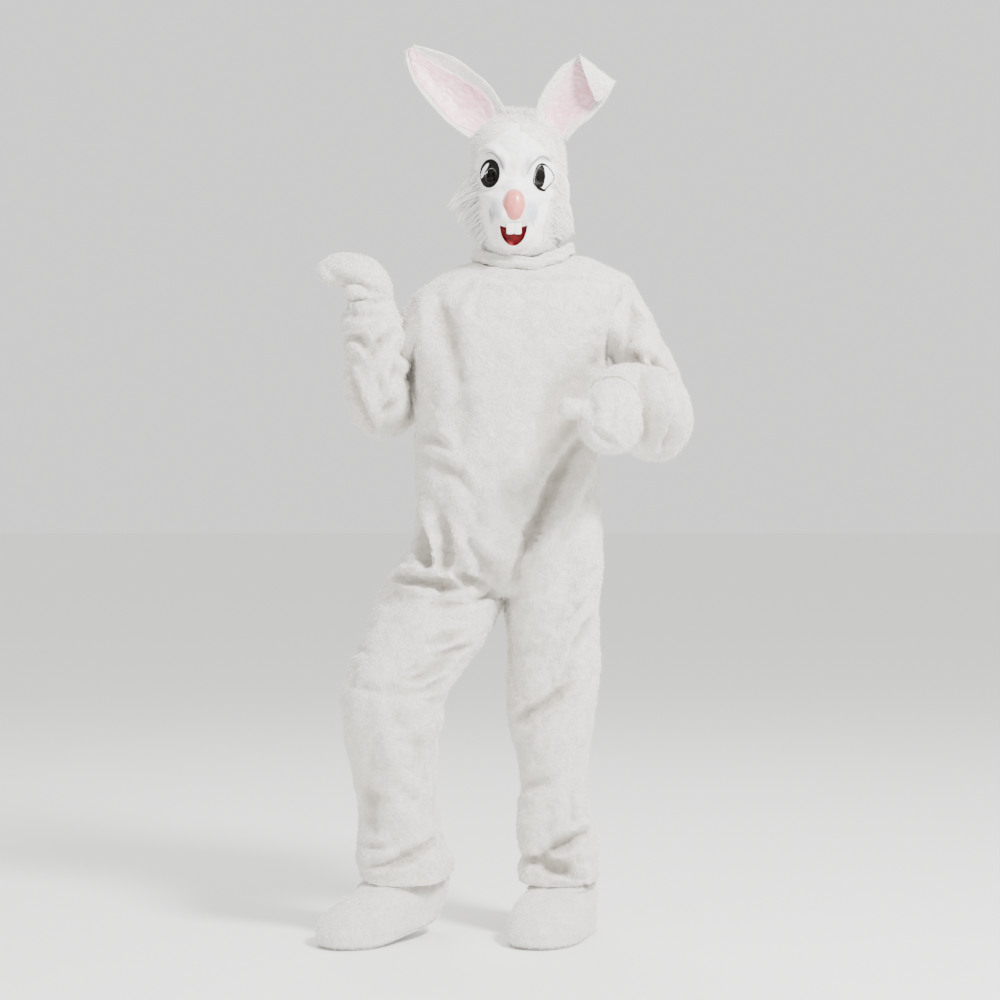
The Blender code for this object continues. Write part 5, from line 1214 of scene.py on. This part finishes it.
def gloss_material(name, colour, second, roughness, scale, coat=0.0, bump=0.1, specular=0.5):
    """A glossy moulded or painted surface, faintly mottled."""
    material, tree, shader = new_material(name, Specular_IOR_Level=specular, Coat_Weight=coat,
                                          Coat_Roughness=0.12)
    mottle = noise_of(tree, Scale=scale, Detail=3.0)
    share = ranged(tree, mottle, 0.35, 0.68)
    uneven = ranged(tree, mottle, 0.3, 0.7, roughness, roughness + 0.12)
    relief = add_node(tree, "ShaderNodeBump", Height=mottle, Strength=bump, Distance=0.0006)
    tree.links.new(blend_colour(tree, share, (*colour, 1), (*second, 1)), shader.inputs["Base Color"])
    tree.links.new(uneven, shader.inputs["Roughness"])
    tree.links.new(relief.outputs[0], shader.inputs["Normal"])
    return material


def closed_curve(corners, count=48):
    """A smooth closed outline through corners."""
    corners = np.asarray(corners, float)
    wrapped = np.vstack([corners[-1:], corners, corners[:2]])
    return np.array([curve_through(wrapped, 1 + len(corners) * i / count) for i in range(count)])


eye_black = gloss_material(
    "eye_black", (0.003, 0.0025, 0.0025), (0.007, 0.006, 0.006), 0.4, 220.0, bump=0.02, specular=0.08,
)
eye_white = gloss_material("eye_white", (0.97, 0.97, 0.97), (0.92, 0.92, 0.93), 0.2, 160.0, coat=0.4)
brow_grey = gloss_material("brow_grey", (0.22, 0.22, 0.24), (0.42, 0.41, 0.42), 0.5, 300.0, specular=0.2)
RIGHT_EYE = {"x": -0.0541, "z": 0.172, "wide": 0.0205, "high": 0.0297}
right_hole, left_hole = [oval(**hole) for hole in lines_of(EYE_HOLES)]
LEFT_IRIS = [(0.0590, 0.1680), (0.0582, 0.1800), (0.0545, 0.1895), (0.0480, 0.1885), (0.0420, 0.1790),
             (0.0385, 0.1680), (0.0365, 0.1550), (0.0430, 0.1462), (0.0520, 0.1434), (0.0575, 0.1540)]
LEFT_EYE = [(0.0765, 0.1683), (0.0710, 0.1794), (0.0584, 0.1902), (0.0490, 0.1892), (0.0396, 0.1740),
            (0.0363, 0.1542), (0.0427, 0.1450), (0.0552, 0.1395), (0.0646, 0.1478), (0.0740, 0.1589)]
GLINT = [(-0.0560, 0.1925), (-0.0620, 0.1900), (-0.0680, 0.1825), (-0.0712, 0.1725), (-0.0708, 0.1640),
         (-0.0672, 0.1670), (-0.0640, 0.1755), (-0.0590, 0.1840)]


def from_right(outline):
    """The same outline, its points numbered from the one at three o'clock, anticlockwise."""
    middle = outline.mean(axis=0)
    turn = np.arctan2(*(outline - middle)[:, ::-1].T)
    even = np.arange(len(outline)) * 2 * math.pi / len(outline)
    order = np.argsort(turn % (2 * math.pi))
    turns = (turn % (2 * math.pi))[order]
    return np.stack([np.interp(even, turns, outline[order, i], period=2 * math.pi) for i in range(2)], axis=1)


left_iris, left_eye = from_right(closed_curve(LEFT_IRIS)), closed_curve(LEFT_EYE)
paint_coat("right_eye_black", right_hole, oval(**RIGHT_EYE), eye_black, lift=0.0009)
paint_coat("right_eye_glint", np.mean(GLINT, axis=0), closed_curve(GLINT), eye_white, lift=0.0016)
paint_coat("left_eye_white", left_iris, from_right(left_eye), eye_white, lift=0.0005)
paint_coat("left_eye_black", left_hole, left_iris, eye_black, lift=0.0007)
middle = left_eye.mean(axis=0)
paint_coat("left_eye_line", left_eye, middle + (left_eye - middle) * 1.11, eye_black, steps=4, lift=0.0009)


def paint_stroke(name, corners, width, material, lift=0.0006):
    """A brush stroke on the face, thin at both ends."""
    corners = np.array(corners)
    line = np.array([curve_through(corners, (len(corners) - 1) * i / 30) for i in range(31)])
    along = unit(np.gradient(line, axis=0))
    across = along[:, ::-1] * [-1, 1]
    half = width / 2 * np.sin(math.pi * np.linspace(0.04, 0.96, 31)) ** 0.6
    outline = np.vstack([line + across * half[:, None], (line - across * half[:, None])[::-1]])
    other = np.vstack([line, line[::-1]])
    paint_coat(name, other, outline, material, steps=2, lift=lift)


paint_stroke("brow_right", [(-0.0640, 0.2125), (-0.0560, 0.2150), (-0.0459, 0.2110), (-0.0336, 0.1970),
                            (-0.0264, 0.1796)], 0.0024, brow_grey)
paint_stroke("brow_left", [(0.0215, 0.1690), (0.0260, 0.1800), (0.0341, 0.1925), (0.0505, 0.2065),
                           (0.0640, 0.2050), (0.0724, 0.1975)], 0.0024, brow_grey)
paint_stroke("lash_left", [(0.0375, 0.1520), (0.0440, 0.1430), (0.0520, 0.1390), (0.0600, 0.1372)], 0.0062,
             eye_black, lift=0.0012)
paint_stroke("lid_left", [(0.0375, 0.1700), (0.0430, 0.1855), (0.0520, 0.1915), (0.0640, 0.1880)], 0.0036,
             eye_black, lift=0.0010)
# Painted shade: grey lines along the creases beside the muzzle.
paint_stroke("muzzle_line_right", [(-0.0530, 0.1000), (-0.0545, 0.0900), (-0.0500, 0.0800)], 0.0020,
             brow_grey)
paint_stroke("muzzle_line_left", [(0.0330, 0.0700), (0.0350, 0.0640), (0.0345, 0.0580)], 0.0014, brow_grey)


# The hood of the mask: white fur cloth with a longer pile, glued round the face's edge and sewn up behind the
# head. Its fur grows over the face's edge too, and a tuft of it stands on the crown, over the forehead.

# The last colour is painted shade, deep in the hood's folds.
HOOD_WHITE, HOOD_SHADE, HOOD_CREASE_SHADE = (0.945, 0.925, 0.90), (0.86, 0.825, 0.79), (0.76, 0.72, 0.67)
FUR_WHITE, FUR_SHADE = (0.955, 0.94, 0.915), (0.90, 0.875, 0.85)
NECK_EDGE = 0.012       # no loose fur below this, where the hood goes into the collar

# Half the width of the bare part of the face, round its eyes, nose and mouth, at heights.
BARE = table(
    "z half",
    [
        (-0.01, 0.016), (0.012, 0.034), (0.035, 0.054), (0.06, 0.060), (0.10, 0.066), (0.135, 0.078),
        (0.165, 0.087), (0.195, 0.085), (0.222, 0.066), (0.245, 0.040), (0.262, 0.010),
    ],
)
BARE_MIDDLE = -0.004


def off_the_bare_face(root, out):
    return np.abs(root[:, 0] - BARE_MIDDLE) > np.interp(root[:, 2], BARE["z"], BARE["half"])


hood_fur = plush_material("hood_fur", HOOD_WHITE, HOOD_SHADE, HOOD_CREASE_SHADE, 40.0, 180.0, bump=0.8)
fur_fibre = plush_material("fur_fibre", FUR_WHITE, FUR_SHADE, HOOD_CREASE_SHADE, bump=0.0, sheen=0.5)
hood = piece("mask_hood_fur", hood_fur, *head.wall(0.0035, "hood"))
hood_pile = pile(
    "mask_hood_pile", head.points, head.faces[head.panels == "hood"], 40000, 0.0105, 0.0009, (0, 0.35, -1),
    21, fur_fibre, keep=lambda root, out: root[:, 2] > NECK_EDGE,
)
fringe = pile(
    "mask_face_fringe", head.points, head.faces[head.panels == "face"], 26000, 0.0085, 0.0008, (0, 0.3, -1),
    29, fur_fibre, keep=off_the_bare_face,
)
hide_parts("mask_hood")


def locks(name, rows, material):
    """Tapered strands of long fur with three sides. rows are (root, bend, tip, thickness)."""
    points, faces = [], []
    for root, bend, tip, thick in rows:
        line = [(1 - t) ** 2 * root + 2 * t * (1 - t) * bend + t * t * tip for t in (0, 0.3, 0.6, 0.85)]
        along = unit(tip - root)
        side = unit(np.cross(along, [0.31, 0.74, 0.59]))
        over = np.cross(along, side)
        start = len(points)
        for i, spot in enumerate(line):
            wide = thick / 2 * (1, 0.95, 0.7, 0.4)[i]
            for turn in (0.0, 2.09, 4.19):
                points.append(spot + (side * math.cos(turn) + over * math.sin(turn)) * wide)
        points.append(tip)
        for i in range(3):
            low = start + 3 * i
            faces += [[low + j, low + (j + 1) % 3, low + (j + 1) % 3 + 3, low + j + 3] for j in range(3)]
        low = start + 9
        faces += [[low + j, low + (j + 1) % 3, start + 12, start + 12] for j in range(3)]
        faces.append([start + 2, start + 1, start, start])
    return piece(name, material, points, faces, np.zeros(len(points)))


TUFT_STRANDS = 420
TUFT_TOP = 0.3215       # no strand of the tuft stands higher
random = np.random.default_rng(31)
tuft_rows = []
for _ in range(TUFT_STRANDS):
    x = -0.022 + 0.066 * random.random()
    near, out, _, _ = head_tree.find_nearest(Vector((x, -0.045 + 0.05 * random.random(), 0.300)))
    root = np.array(near)
    lean = np.array([0.5 * (x - 0.010) / 0.03 + 0.2 * random.normal(), -0.25 + 0.3 * random.normal(), 0.7])
    reach = 0.012 + 0.010 * random.random()
    tip = root + unit(np.array(out) * 0.5 + lean) * reach
    tip[2] = min(tip[2], TUFT_TOP)
    tuft_rows.append((root, (root + tip) / 2 + np.array(out) * 0.003, tip, 0.0011))
crown_tuft = locks("crown_tuft", tuft_rows, fur_fibre)
for part in (hood, hood_pile, fringe, crown_tuft):
    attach(part, "root")


# Long fur on the cheeks: locks of it in a narrow strip, sewn to the hood beside the face. They sweep out and
# down, and end in loose points.

RIGHT_LOCKS = table(
    "root x y z",
    [
        (0.98, -0.104, -0.034, 0.150), (0.90, -0.120, -0.036, 0.130), (0.82, -0.146, -0.034, 0.1085),
        (0.74, -0.140, -0.040, 0.099), (0.66, -0.127, -0.030, 0.088), (0.57, -0.122, -0.042, 0.075),
        (0.48, -0.114, -0.032, 0.068), (0.38, -0.106, -0.044, 0.055), (0.29, -0.100, -0.034, 0.046),
        (0.20, -0.092, -0.044, 0.036), (0.11, -0.085, -0.038, 0.030), (0.03, -0.078, -0.050, 0.026),
    ],
)
LEFT_LOCKS = table(
    "root x y z",
    [
        (0.94, 0.107, -0.030, 0.132), (0.84, 0.109, -0.034, 0.112), (0.74, 0.112, -0.026, 0.094),
        (0.64, 0.118, -0.034, 0.078), (0.54, 0.121, -0.024, 0.064), (0.44, 0.120, -0.034, 0.053),
        (0.34, 0.114, -0.028, 0.048), (0.24, 0.108, -0.040, 0.044), (0.14, 0.102, -0.036, 0.042),
        (0.05, 0.095, -0.046, 0.042),
    ],
)
STRIP = {"low": 2.8, "high": 6.2, "angle": 22}
STRANDS = 95
for side, lock_table in ((1, LEFT_LOCKS), (-1, RIGHT_LOCKS)):
    word = "left" if side > 0 else "right"
    random = np.random.default_rng(41 + side)
    rows = []
    for lock in lines_of(lock_table):
        point = np.array([lock["x"], lock["y"], lock["z"]])
        for _ in range(STRANDS):
            share = np.clip(lock["root"] + 0.075 * random.normal(), 0.0, 1.0)
            ring = table_row(HEAD, STRIP["low"] + (STRIP["high"] - STRIP["low"]) * share)
            angle = math.radians(STRIP["angle"] + 9 * random.normal())
            near = ring_points(ring, np.array([-angle if side > 0 else angle - math.pi]))[0]
            spot, out, _, _ = head_tree.find_nearest(Vector(near))
            root, out = np.array(spot), np.array(out)
            gather = 0.30 + 0.70 * random.random() ** 0.8
            stray = random.normal(size=3) * [0.003, 0.005, 0.006] * (1.3 - gather)
            tip = root + (point - root) * gather + stray
            tip += out * 0.004 * random.random()
            bend = root * 0.45 + tip * 0.55 + out * (0.004 + 0.006 * random.random())
            rows.append((root + out * 0.0005, bend, tip, 0.0010 + 0.0009 * random.random()))
    made = locks(f"cheek_fur_{word}_locks", rows, fur_fibre)
    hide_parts(f"cheek_fur_{word}")
    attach(made, "root")


# The nose: a pink latex egg, its small end down, cast with the face and finished in gloss.

NOSE = {"x": -0.0042, "z": 0.1015, "wide": 0.0235, "high": 0.0345, "deep": 0.024}
nose_gloss = gloss_material("nose_gloss", (0.68, 0.17, 0.15), (0.80, 0.27, 0.23), 0.3, 60.0, 0.3, bump=0.05)
nose_face, _ = front_of(NOSE["x"], NOSE["z"])
rows = []
for up in np.linspace(-math.pi / 2, math.pi / 2, 40):
    row = []
    lift = math.sin(up)
    for turn in np.arange(48) * 2 * math.pi / 48:
        narrow = math.cos(up) ** (0.72 if lift > 0 else 1.30) * (1 - 0.06 * lift)
        x = NOSE["x"] + NOSE["wide"] * narrow * math.cos(turn)
        y = nose_face[1] + 0.004 + NOSE["deep"] * narrow * math.sin(turn)
        z = NOSE["z"] + NOSE["high"] * lift
        row.append((x, min(y, front_of(x, z)[0][1] + 0.0005), z))
    rows.append(row)
egg = sewn(rows, closed=True)
nose = piece("nose_egg", nose_gloss, egg.points, egg.faces)
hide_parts("nose")
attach(nose, "root")


# The mouth: a dark red latex bowl behind the opening, and two white front teeth on one plate that hangs from
# the upper lip.

mouth_red = gloss_material("mouth_red", (0.10, 0.001, 0.004), (0.24, 0.006, 0.012), 0.35, 90.0, specular=0.2)
tooth_white = gloss_material("tooth_white", (0.96, 0.955, 0.93), (0.92, 0.91, 0.87), 0.18, 120.0, coat=0.5)
BOWL = [(1.22, 0.0), (1.1, 0.002), (1.0, 0.004), (0.9, 0.008), (0.75, 0.012), (0.5, 0.016), (0.2, 0.017)]
rows = []
for scale, depth in BOWL:
    row = []
    for x, z in mouth_outline(scale):
        spot, out = front_of(x, z)
        row.append((x, spot[1] + 0.0035 / max(-out[1], 0.5) + depth, z))
    rows.append(row)
rows.append(np.tile(np.mean(rows[-1], axis=0), (len(rows[-1]), 1)))
bowl = sewn(rows, closed=True)
bowl.points[:, 1] += 0.0012 * rumple(bowl.points, 0.010, 17)
made = piece("mouth_bowl", mouth_red, *bowl.wall(0.0012, tuck=0)[:2])
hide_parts("mouth_lining")
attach(made, "root")

TEETH = {"x0": -0.0214, "x1": 0.0113, "top": 0.0655, "bottom": 0.0425}
rows = []
tooth_middle = (TEETH["x0"] + TEETH["x1"]) / 2
lip_y = front_of(tooth_middle, TEETH["top"])[0][1]
for share in np.linspace(1, 0, 24):
    row = []
    for u in np.linspace(-1, 1, 41):
        x = tooth_middle + (TEETH["x1"] - TEETH["x0"]) / 2 * u * (1 - 0.04 * (1 - share))
        corner = abs(abs(u) - 0.5) * 2
        foot = TEETH["bottom"] + 0.0024 * corner**4
        z = foot + (TEETH["top"] - foot) * share
        crown = 0.0022 * (1 - corner**6) + 0.0012 * (1 - abs(2 * share - 1) ** 3)
        row.append((x, lip_y - 0.0042 - crown + 0.001 * u * u, z))
    rows.append(row)
plate = sewn(rows, flip=True)
made = piece("teeth_plate", tooth_white, *plate.wall(0.0034, tuck=0.0006, gap=0.0)[:2])
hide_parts("teeth")
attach(made, "root")


# The ears: fur cloth over a stiff insert, lined with pink satin on the side that shows, and sewn to the hood.
# The right one stands out to the side. The tip of the left one has folded over to the front.

RIGHT_EAR = table(
    "x0 z0 x1 z1 ahead cup pink0 pink1",
    [
        (-0.0798, 0.2499, -0.0084, 0.2940, 0.000, 0.012, 0.25, 0.62),
        (-0.1302, 0.2835, -0.0336, 0.3339, 0.002, 0.022, 0.08, 0.87),
        (-0.1596, 0.3108, -0.0588, 0.3696, 0.004, 0.024, 0.07, 0.86),
        (-0.1869, 0.3423, -0.0882, 0.3948, 0.004, 0.022, 0.08, 0.79),
        (-0.2121, 0.3759, -0.1302, 0.4263, 0.003, 0.016, 0.07, 0.70),
        (-0.2289, 0.4179, -0.1743, 0.4431, 0.001, 0.008, 0.12, 0.58),
        (-0.2320, 0.4440, -0.2150, 0.4540, 0.000, 0.002, 0.25, 0.50),
    ],
)
LEFT_EAR = table(
    "x0 z0 x1 z1 ahead cup pink0 pink1",
    [
        (0.0525, 0.2688, 0.1050, 0.2562, 0.000, 0.008, 0.25, 0.80),
        (0.0441, 0.3192, 0.1260, 0.2835, 0.002, 0.018, 0.20, 0.86),
        (0.0567, 0.3528, 0.1554, 0.3066, 0.004, 0.022, 0.17, 0.92),
        (0.0756, 0.3833, 0.1785, 0.3318, 0.004, 0.018, 0.15, 0.90),
        (0.0966, 0.4095, 0.1953, 0.3549, 0.002, 0.010, 0.13, 0.90),
        (0.1239, 0.4274, 0.2016, 0.3717, 0.000, 0.003, 0.12, 0.90),
        (0.1302, 0.4310, 0.2037, 0.3735, 0.006, 0.000, 0.15, 0.85),    # the tip folds over to the front
        (0.1344, 0.4158, 0.1995, 0.3591, 0.015, 0.000, 0.15, 0.85),
        (0.1470, 0.3822, 0.1869, 0.3423, 0.018, 0.000, 0.15, 0.85),
        (0.1659, 0.3381, 0.1722, 0.3339, 0.017, 0.000, 0.15, 0.85),
    ],
)
EAR_COLUMNS, EAR_ROWS = 26, 9
satin, tree, shader = new_material("pink_satin", Sheen_Weight=0.1, Sheen_Roughness=0.3)
cloudy = noise_of(tree, Scale=26.0, Detail=4.0, Distortion=1.2)
pink = blend_colour(tree, ranged(tree, cloudy, 0.35, 0.68), (0.93, 0.66, 0.71, 1), (0.88, 0.50, 0.58, 1))
# Painted shade: the satin goes towards a deeper pink in the troughs of its wrinkles.
fold = add_node(tree, "ShaderNodeAttribute", {"attribute_name": "fold"}).outputs["Fac"]
deep = ranged(tree, fold, 0.02, 0.25, 0.0, 0.7)
weave = noise_of(tree, Scale=1400.0, Detail=1.0)
relief = add_node(tree, "ShaderNodeBump", Height=weave, Strength=0.15, Distance=0.0004)
tree.links.new(blend_colour(tree, deep, pink, (0.78, 0.36, 0.45, 1)), shader.inputs["Base Color"])
tree.links.new(ranged(tree, cloudy, 0.3, 0.7, 0.34, 0.5), shader.inputs["Roughness"])
tree.links.new(relief.outputs[0], shader.inputs["Normal"])


def ear_rows(ear, shares_of, last):
    """Rows of points across an ear, from its root to a line of its table."""
    rows = []
    for position in np.linspace(0, last, int(last * EAR_ROWS) + 1):
        line = table_row(ear, position)
        share = shares_of(line)
        x = line["x0"] + (line["x1"] - line["x0"]) * share
        z = line["z0"] + (line["z1"] - line["z0"]) * share
        rows.append(np.stack([x, line["cup"] * 4 * share * (1 - share) - line["ahead"], z], axis=1))
    return rows


def whole(line):
    return np.linspace(0, 1, EAR_COLUMNS)


def lined(line):
    return np.linspace(line["pink0"], line["pink1"], EAR_COLUMNS)


for side, ear, lining_end in ((1, LEFT_EAR, 5.0), (-1, RIGHT_EAR, 6.0)):
    word = "left" if side > 0 else "right"
    outer = sewn(ear_rows(ear, whole, len(ear["x0"]) - 1.0))
    outer.raise_by(0.0010 * rumple(outer.points, 0.018, 18))
    wall = outer.wall(0.0048, tuck=0.0015)
    cloth = piece(f"ear_{word}_fur", hood_fur, *wall)
    fuzz = pile(f"ear_{word}_pile", *wall[:2], 9000, 0.0062, 0.0007, (0.75 * side, 0, 0.6), 22, fur_fibre,
                keep=lambda root, out: out[:, 1] > -0.5)
    lining = sewn(ear_rows(ear, lined, lining_end))
    edge = np.unique(cloth_edges(lining.faces))
    away = np.ones(len(lining.points)) * 0.0022
    away[edge] = 0.0006
    wrinkles = rumple(lining.points * [1, 1, 1.6], 0.022, 19) + 0.6 * rumple(lining.points, 0.010, 20)
    creases = -0.0022 * np.exp(-((wrinkles / 0.18) ** 2))
    away[np.setdiff1d(np.arange(len(away)), edge)] += 0.0014
    lining.raise_by(away)
    lining.depth = np.zeros(len(lining.points))
    creases[edge] = 0
    lining.raise_by(creases)
    satin_piece = piece(f"ear_{word}_satin", satin, *lining.wall(0.0008, tuck=0.0))
    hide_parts(f"ear_{word}")
    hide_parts(f"ear_lining_{word}")
    for part, slot in ((cloth, "hood_fur"), (fuzz, "hood_fur"), (satin_piece, "satin")):
        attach(part, "root")


# The shoe covers: plush uppers shaped to slip over a shoe, gathered at the ankle under the leg's hem. Each is
# sewn to a flat felted sole that shows as a welt round the foot.

SHOE = table(
    "height back front wide",
    [
        (0.0049, -0.012, 0.294, 0.076),
        (0.020, -0.020, 0.300, 0.081),
        (0.045, -0.032, 0.290, 0.081),     # the heel bags out behind the foot
        (0.070, -0.036, 0.262, 0.079),
        (0.090, -0.030, 0.226, 0.071),
        (0.106, -0.006, 0.1805, 0.060),
        (0.120, 0.012, 0.150, 0.053),
        (0.134, 0.014, 0.124, 0.047),
        (0.150, 0.016, 0.116, 0.045),      # ankle
    ],
)
SOLE, FLOOR_Z = 0.0045, -1.410
SHOE_RING, SHOE_STEPS = 96, 52
FEET = {
    "left": {"x": 0.128, "y": 0.086, "turn": 20, "lift": 0},
    "right": {"x": -0.186, "y": 0.036, "turn": 42, "lift": 8},
}
BALL = 0.235            # from the heel to the ball of the foot, about which a lifted foot tips
SOLE_ROWS = [           # each ring of the sole, as a share of its outline, and its height
    (0.0, SOLE), (0.5, SOLE), (0.94, SOLE), (0.972, SOLE - 0.0004), (0.98, SOLE * 0.6), (0.972, 0.0004),
    (0.95, 0.0), (0.5, 0.0), (0.0, 0.0),
]
SOLE_MIDDLE = np.array([0.15, 0.0, 0.0])


def facing_out(form):
    """The same form, with its faces turned to the outside."""
    if (cloth_normals(form.points, form.faces) * (form.points - form.points.mean(axis=0))).sum() < 0:
        form.faces = form.faces[:, ::-1]
    return form


def shoe_outline(ring):
    """Round one outline of the foot, in the foot's own frame: forward, to its left, up."""
    middle, half = (ring["front"] + ring["back"]) / 2, (ring["front"] - ring["back"]) / 2
    turn = 2 * math.pi * np.arange(SHOE_RING) / SHOE_RING
    forward = middle + half * signed_power(np.cos(turn), 0.85)
    toe = smooth((forward - 0.12) / 0.12) * 0.9 + 0.1
    narrow = 0.86 + 0.14 * toe if ring["front"] > 0.2 else np.ones(SHOE_RING)
    across = ring["wide"] * narrow * signed_power(np.sin(turn), 0.85)
    return np.stack([forward, across, np.full(SHOE_RING, ring["height"])], axis=1)


def on_foot(foot, outline):
    """Points of the foot's frame in the world, tipped about the toe where the heel is lifted."""
    forward, across, up = np.asarray(outline).T
    lift = math.radians(foot["lift"])
    tipped = forward - BALL
    along = BALL + tipped * math.cos(lift) - up * math.sin(lift) * (tipped < 0)
    rise = up - np.minimum(tipped, 0) * math.sin(lift)
    turn = math.radians(foot["turn"])
    x = foot["x"] - math.sin(turn) * along + math.cos(turn) * across
    y = foot["y"] - math.cos(turn) * along - math.sin(turn) * across
    return np.stack([x, y, FLOOR_Z + rise], axis=1)


# The third colour of each is painted shade, deep in its folds.
shoe_plush = plush_material("shoe_plush", (0.90, 0.87, 0.825), (0.79, 0.745, 0.68), CREASE_SHADE, patches=36.0)
felt_sole = plush_material("felt_sole", (0.84, 0.81, 0.76), (0.74, 0.70, 0.64), (0.5, 0.46, 0.4), tufts=420.0)
for word, foot in FEET.items():
    rows = [on_foot(foot, shoe_outline(table_row(SHOE, (len(SHOE["height"]) - 1) * n / SHOE_STEPS)))
            for n in range(SHOE_STEPS + 1)]
    upper = facing_out(sewn(rows, closed=True))
    height = upper.points[:, 2] - FLOOR_Z
    welt = 0.0020 * np.exp(-(((height - 0.009) / 0.006) ** 2))
    welt -= 0.0016 * np.exp(-(((height - 0.021) / 0.005) ** 2))
    crumple = 0.0046 * rumple(upper.points, 0.055, 26) + 0.0028 * rumple(upper.points, 0.024, 27)
    crumple *= smooth((height - 0.004) / 0.02) * (1 - 0.7 * smooth((height - 0.10) / 0.02))
    upper.raise_by(crumple + welt)
    made = piece(f"shoe_cover_{word}_plush", shoe_plush, *upper.wall(PLUSH))
    fuzz = pile(f"shoe_cover_{word}_pile", upper.points, upper.faces, 12000, 0.0065, 0.0010, DOWN, 28,
                depth=upper.depth)
    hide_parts(f"shoe_cover_{word}")
    for part in (made, fuzz):
        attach(part, "root")
    bottom = shoe_outline(table_row(SHOE, 0))
    rows = []
    for scale, up in SOLE_ROWS:
        rows.append(on_foot(foot, (SOLE_MIDDLE + (bottom - SOLE_MIDDLE) * scale) * [1, 1, 0] + [0, 0, up]))
    sole = facing_out(sewn(rows, closed=True))
    made = piece(f"sole_{word}_felt", felt_sole, sole.points, sole.faces, np.zeros(len(sole.points)))
    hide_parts(f"sole_{word}")
    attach(made, "root")


# The studio: a plain pale floor under soft light from above and both sides, and the camera of the photograph.

floor_data = bpy.data.meshes.new("floor")
floor_data.from_pydata([(-60, -60, 0), (60, -60, 0), (60, 60, 0), (-60, 60, 0)], [], [(0, 1, 2, 3)])
floor = bpy.data.objects.new("floor", floor_data)
floor.location.z = FLOOR_Z - 0.0005
bpy.context.scene.collection.objects.link(floor)
floor_paint, _, _ = new_material("floor_paint", Base_Color=(0.92, 0.915, 0.90, 1), Roughness=0.9)
floor_data.materials.append(floor_paint)

world = bpy.data.worlds.new("studio")
world.use_nodes = True
background = world.node_tree.nodes["Background"]
background.inputs["Color"].default_value = (1.0, 0.995, 0.98, 1)
background.inputs["Strength"].default_value = 1.25
bpy.context.scene.world = world

for name, place, aim, size, power in (
    ("key", (2.3, -2.7, 2.6), (0, 0, -0.3), 1.1, 560),
    ("fill", (-2.8, -2.2, 1.2), (0, 0, -0.4), 2.4, 20),
    ("rim", (-0.6, 2.8, 2.4), (0, 0, -0.2), 2.0, 90),
):
    lamp = bpy.data.lights.new(name, "AREA")
    lamp.shape = "DISK"
    lamp.size = size
    lamp.energy = power
    light = bpy.data.objects.new(name, lamp)
    light.location = place
    light.rotation_mode = "QUATERNION"
    light.rotation_quaternion = (Vector(aim) - Vector(place)).to_track_quat("-Z", "Y")
    bpy.context.scene.collection.objects.link(light)

camera_data = bpy.data.cameras.new("camera")
camera_data.lens = 85.71
camera = bpy.data.objects.new("camera", camera_data)
camera.location = (-0.0336, -5.0, -0.50)
camera.rotation_euler = (math.radians(90), 0, 0)
bpy.context.scene.collection.objects.link(camera)
bpy.context.scene.camera = camera
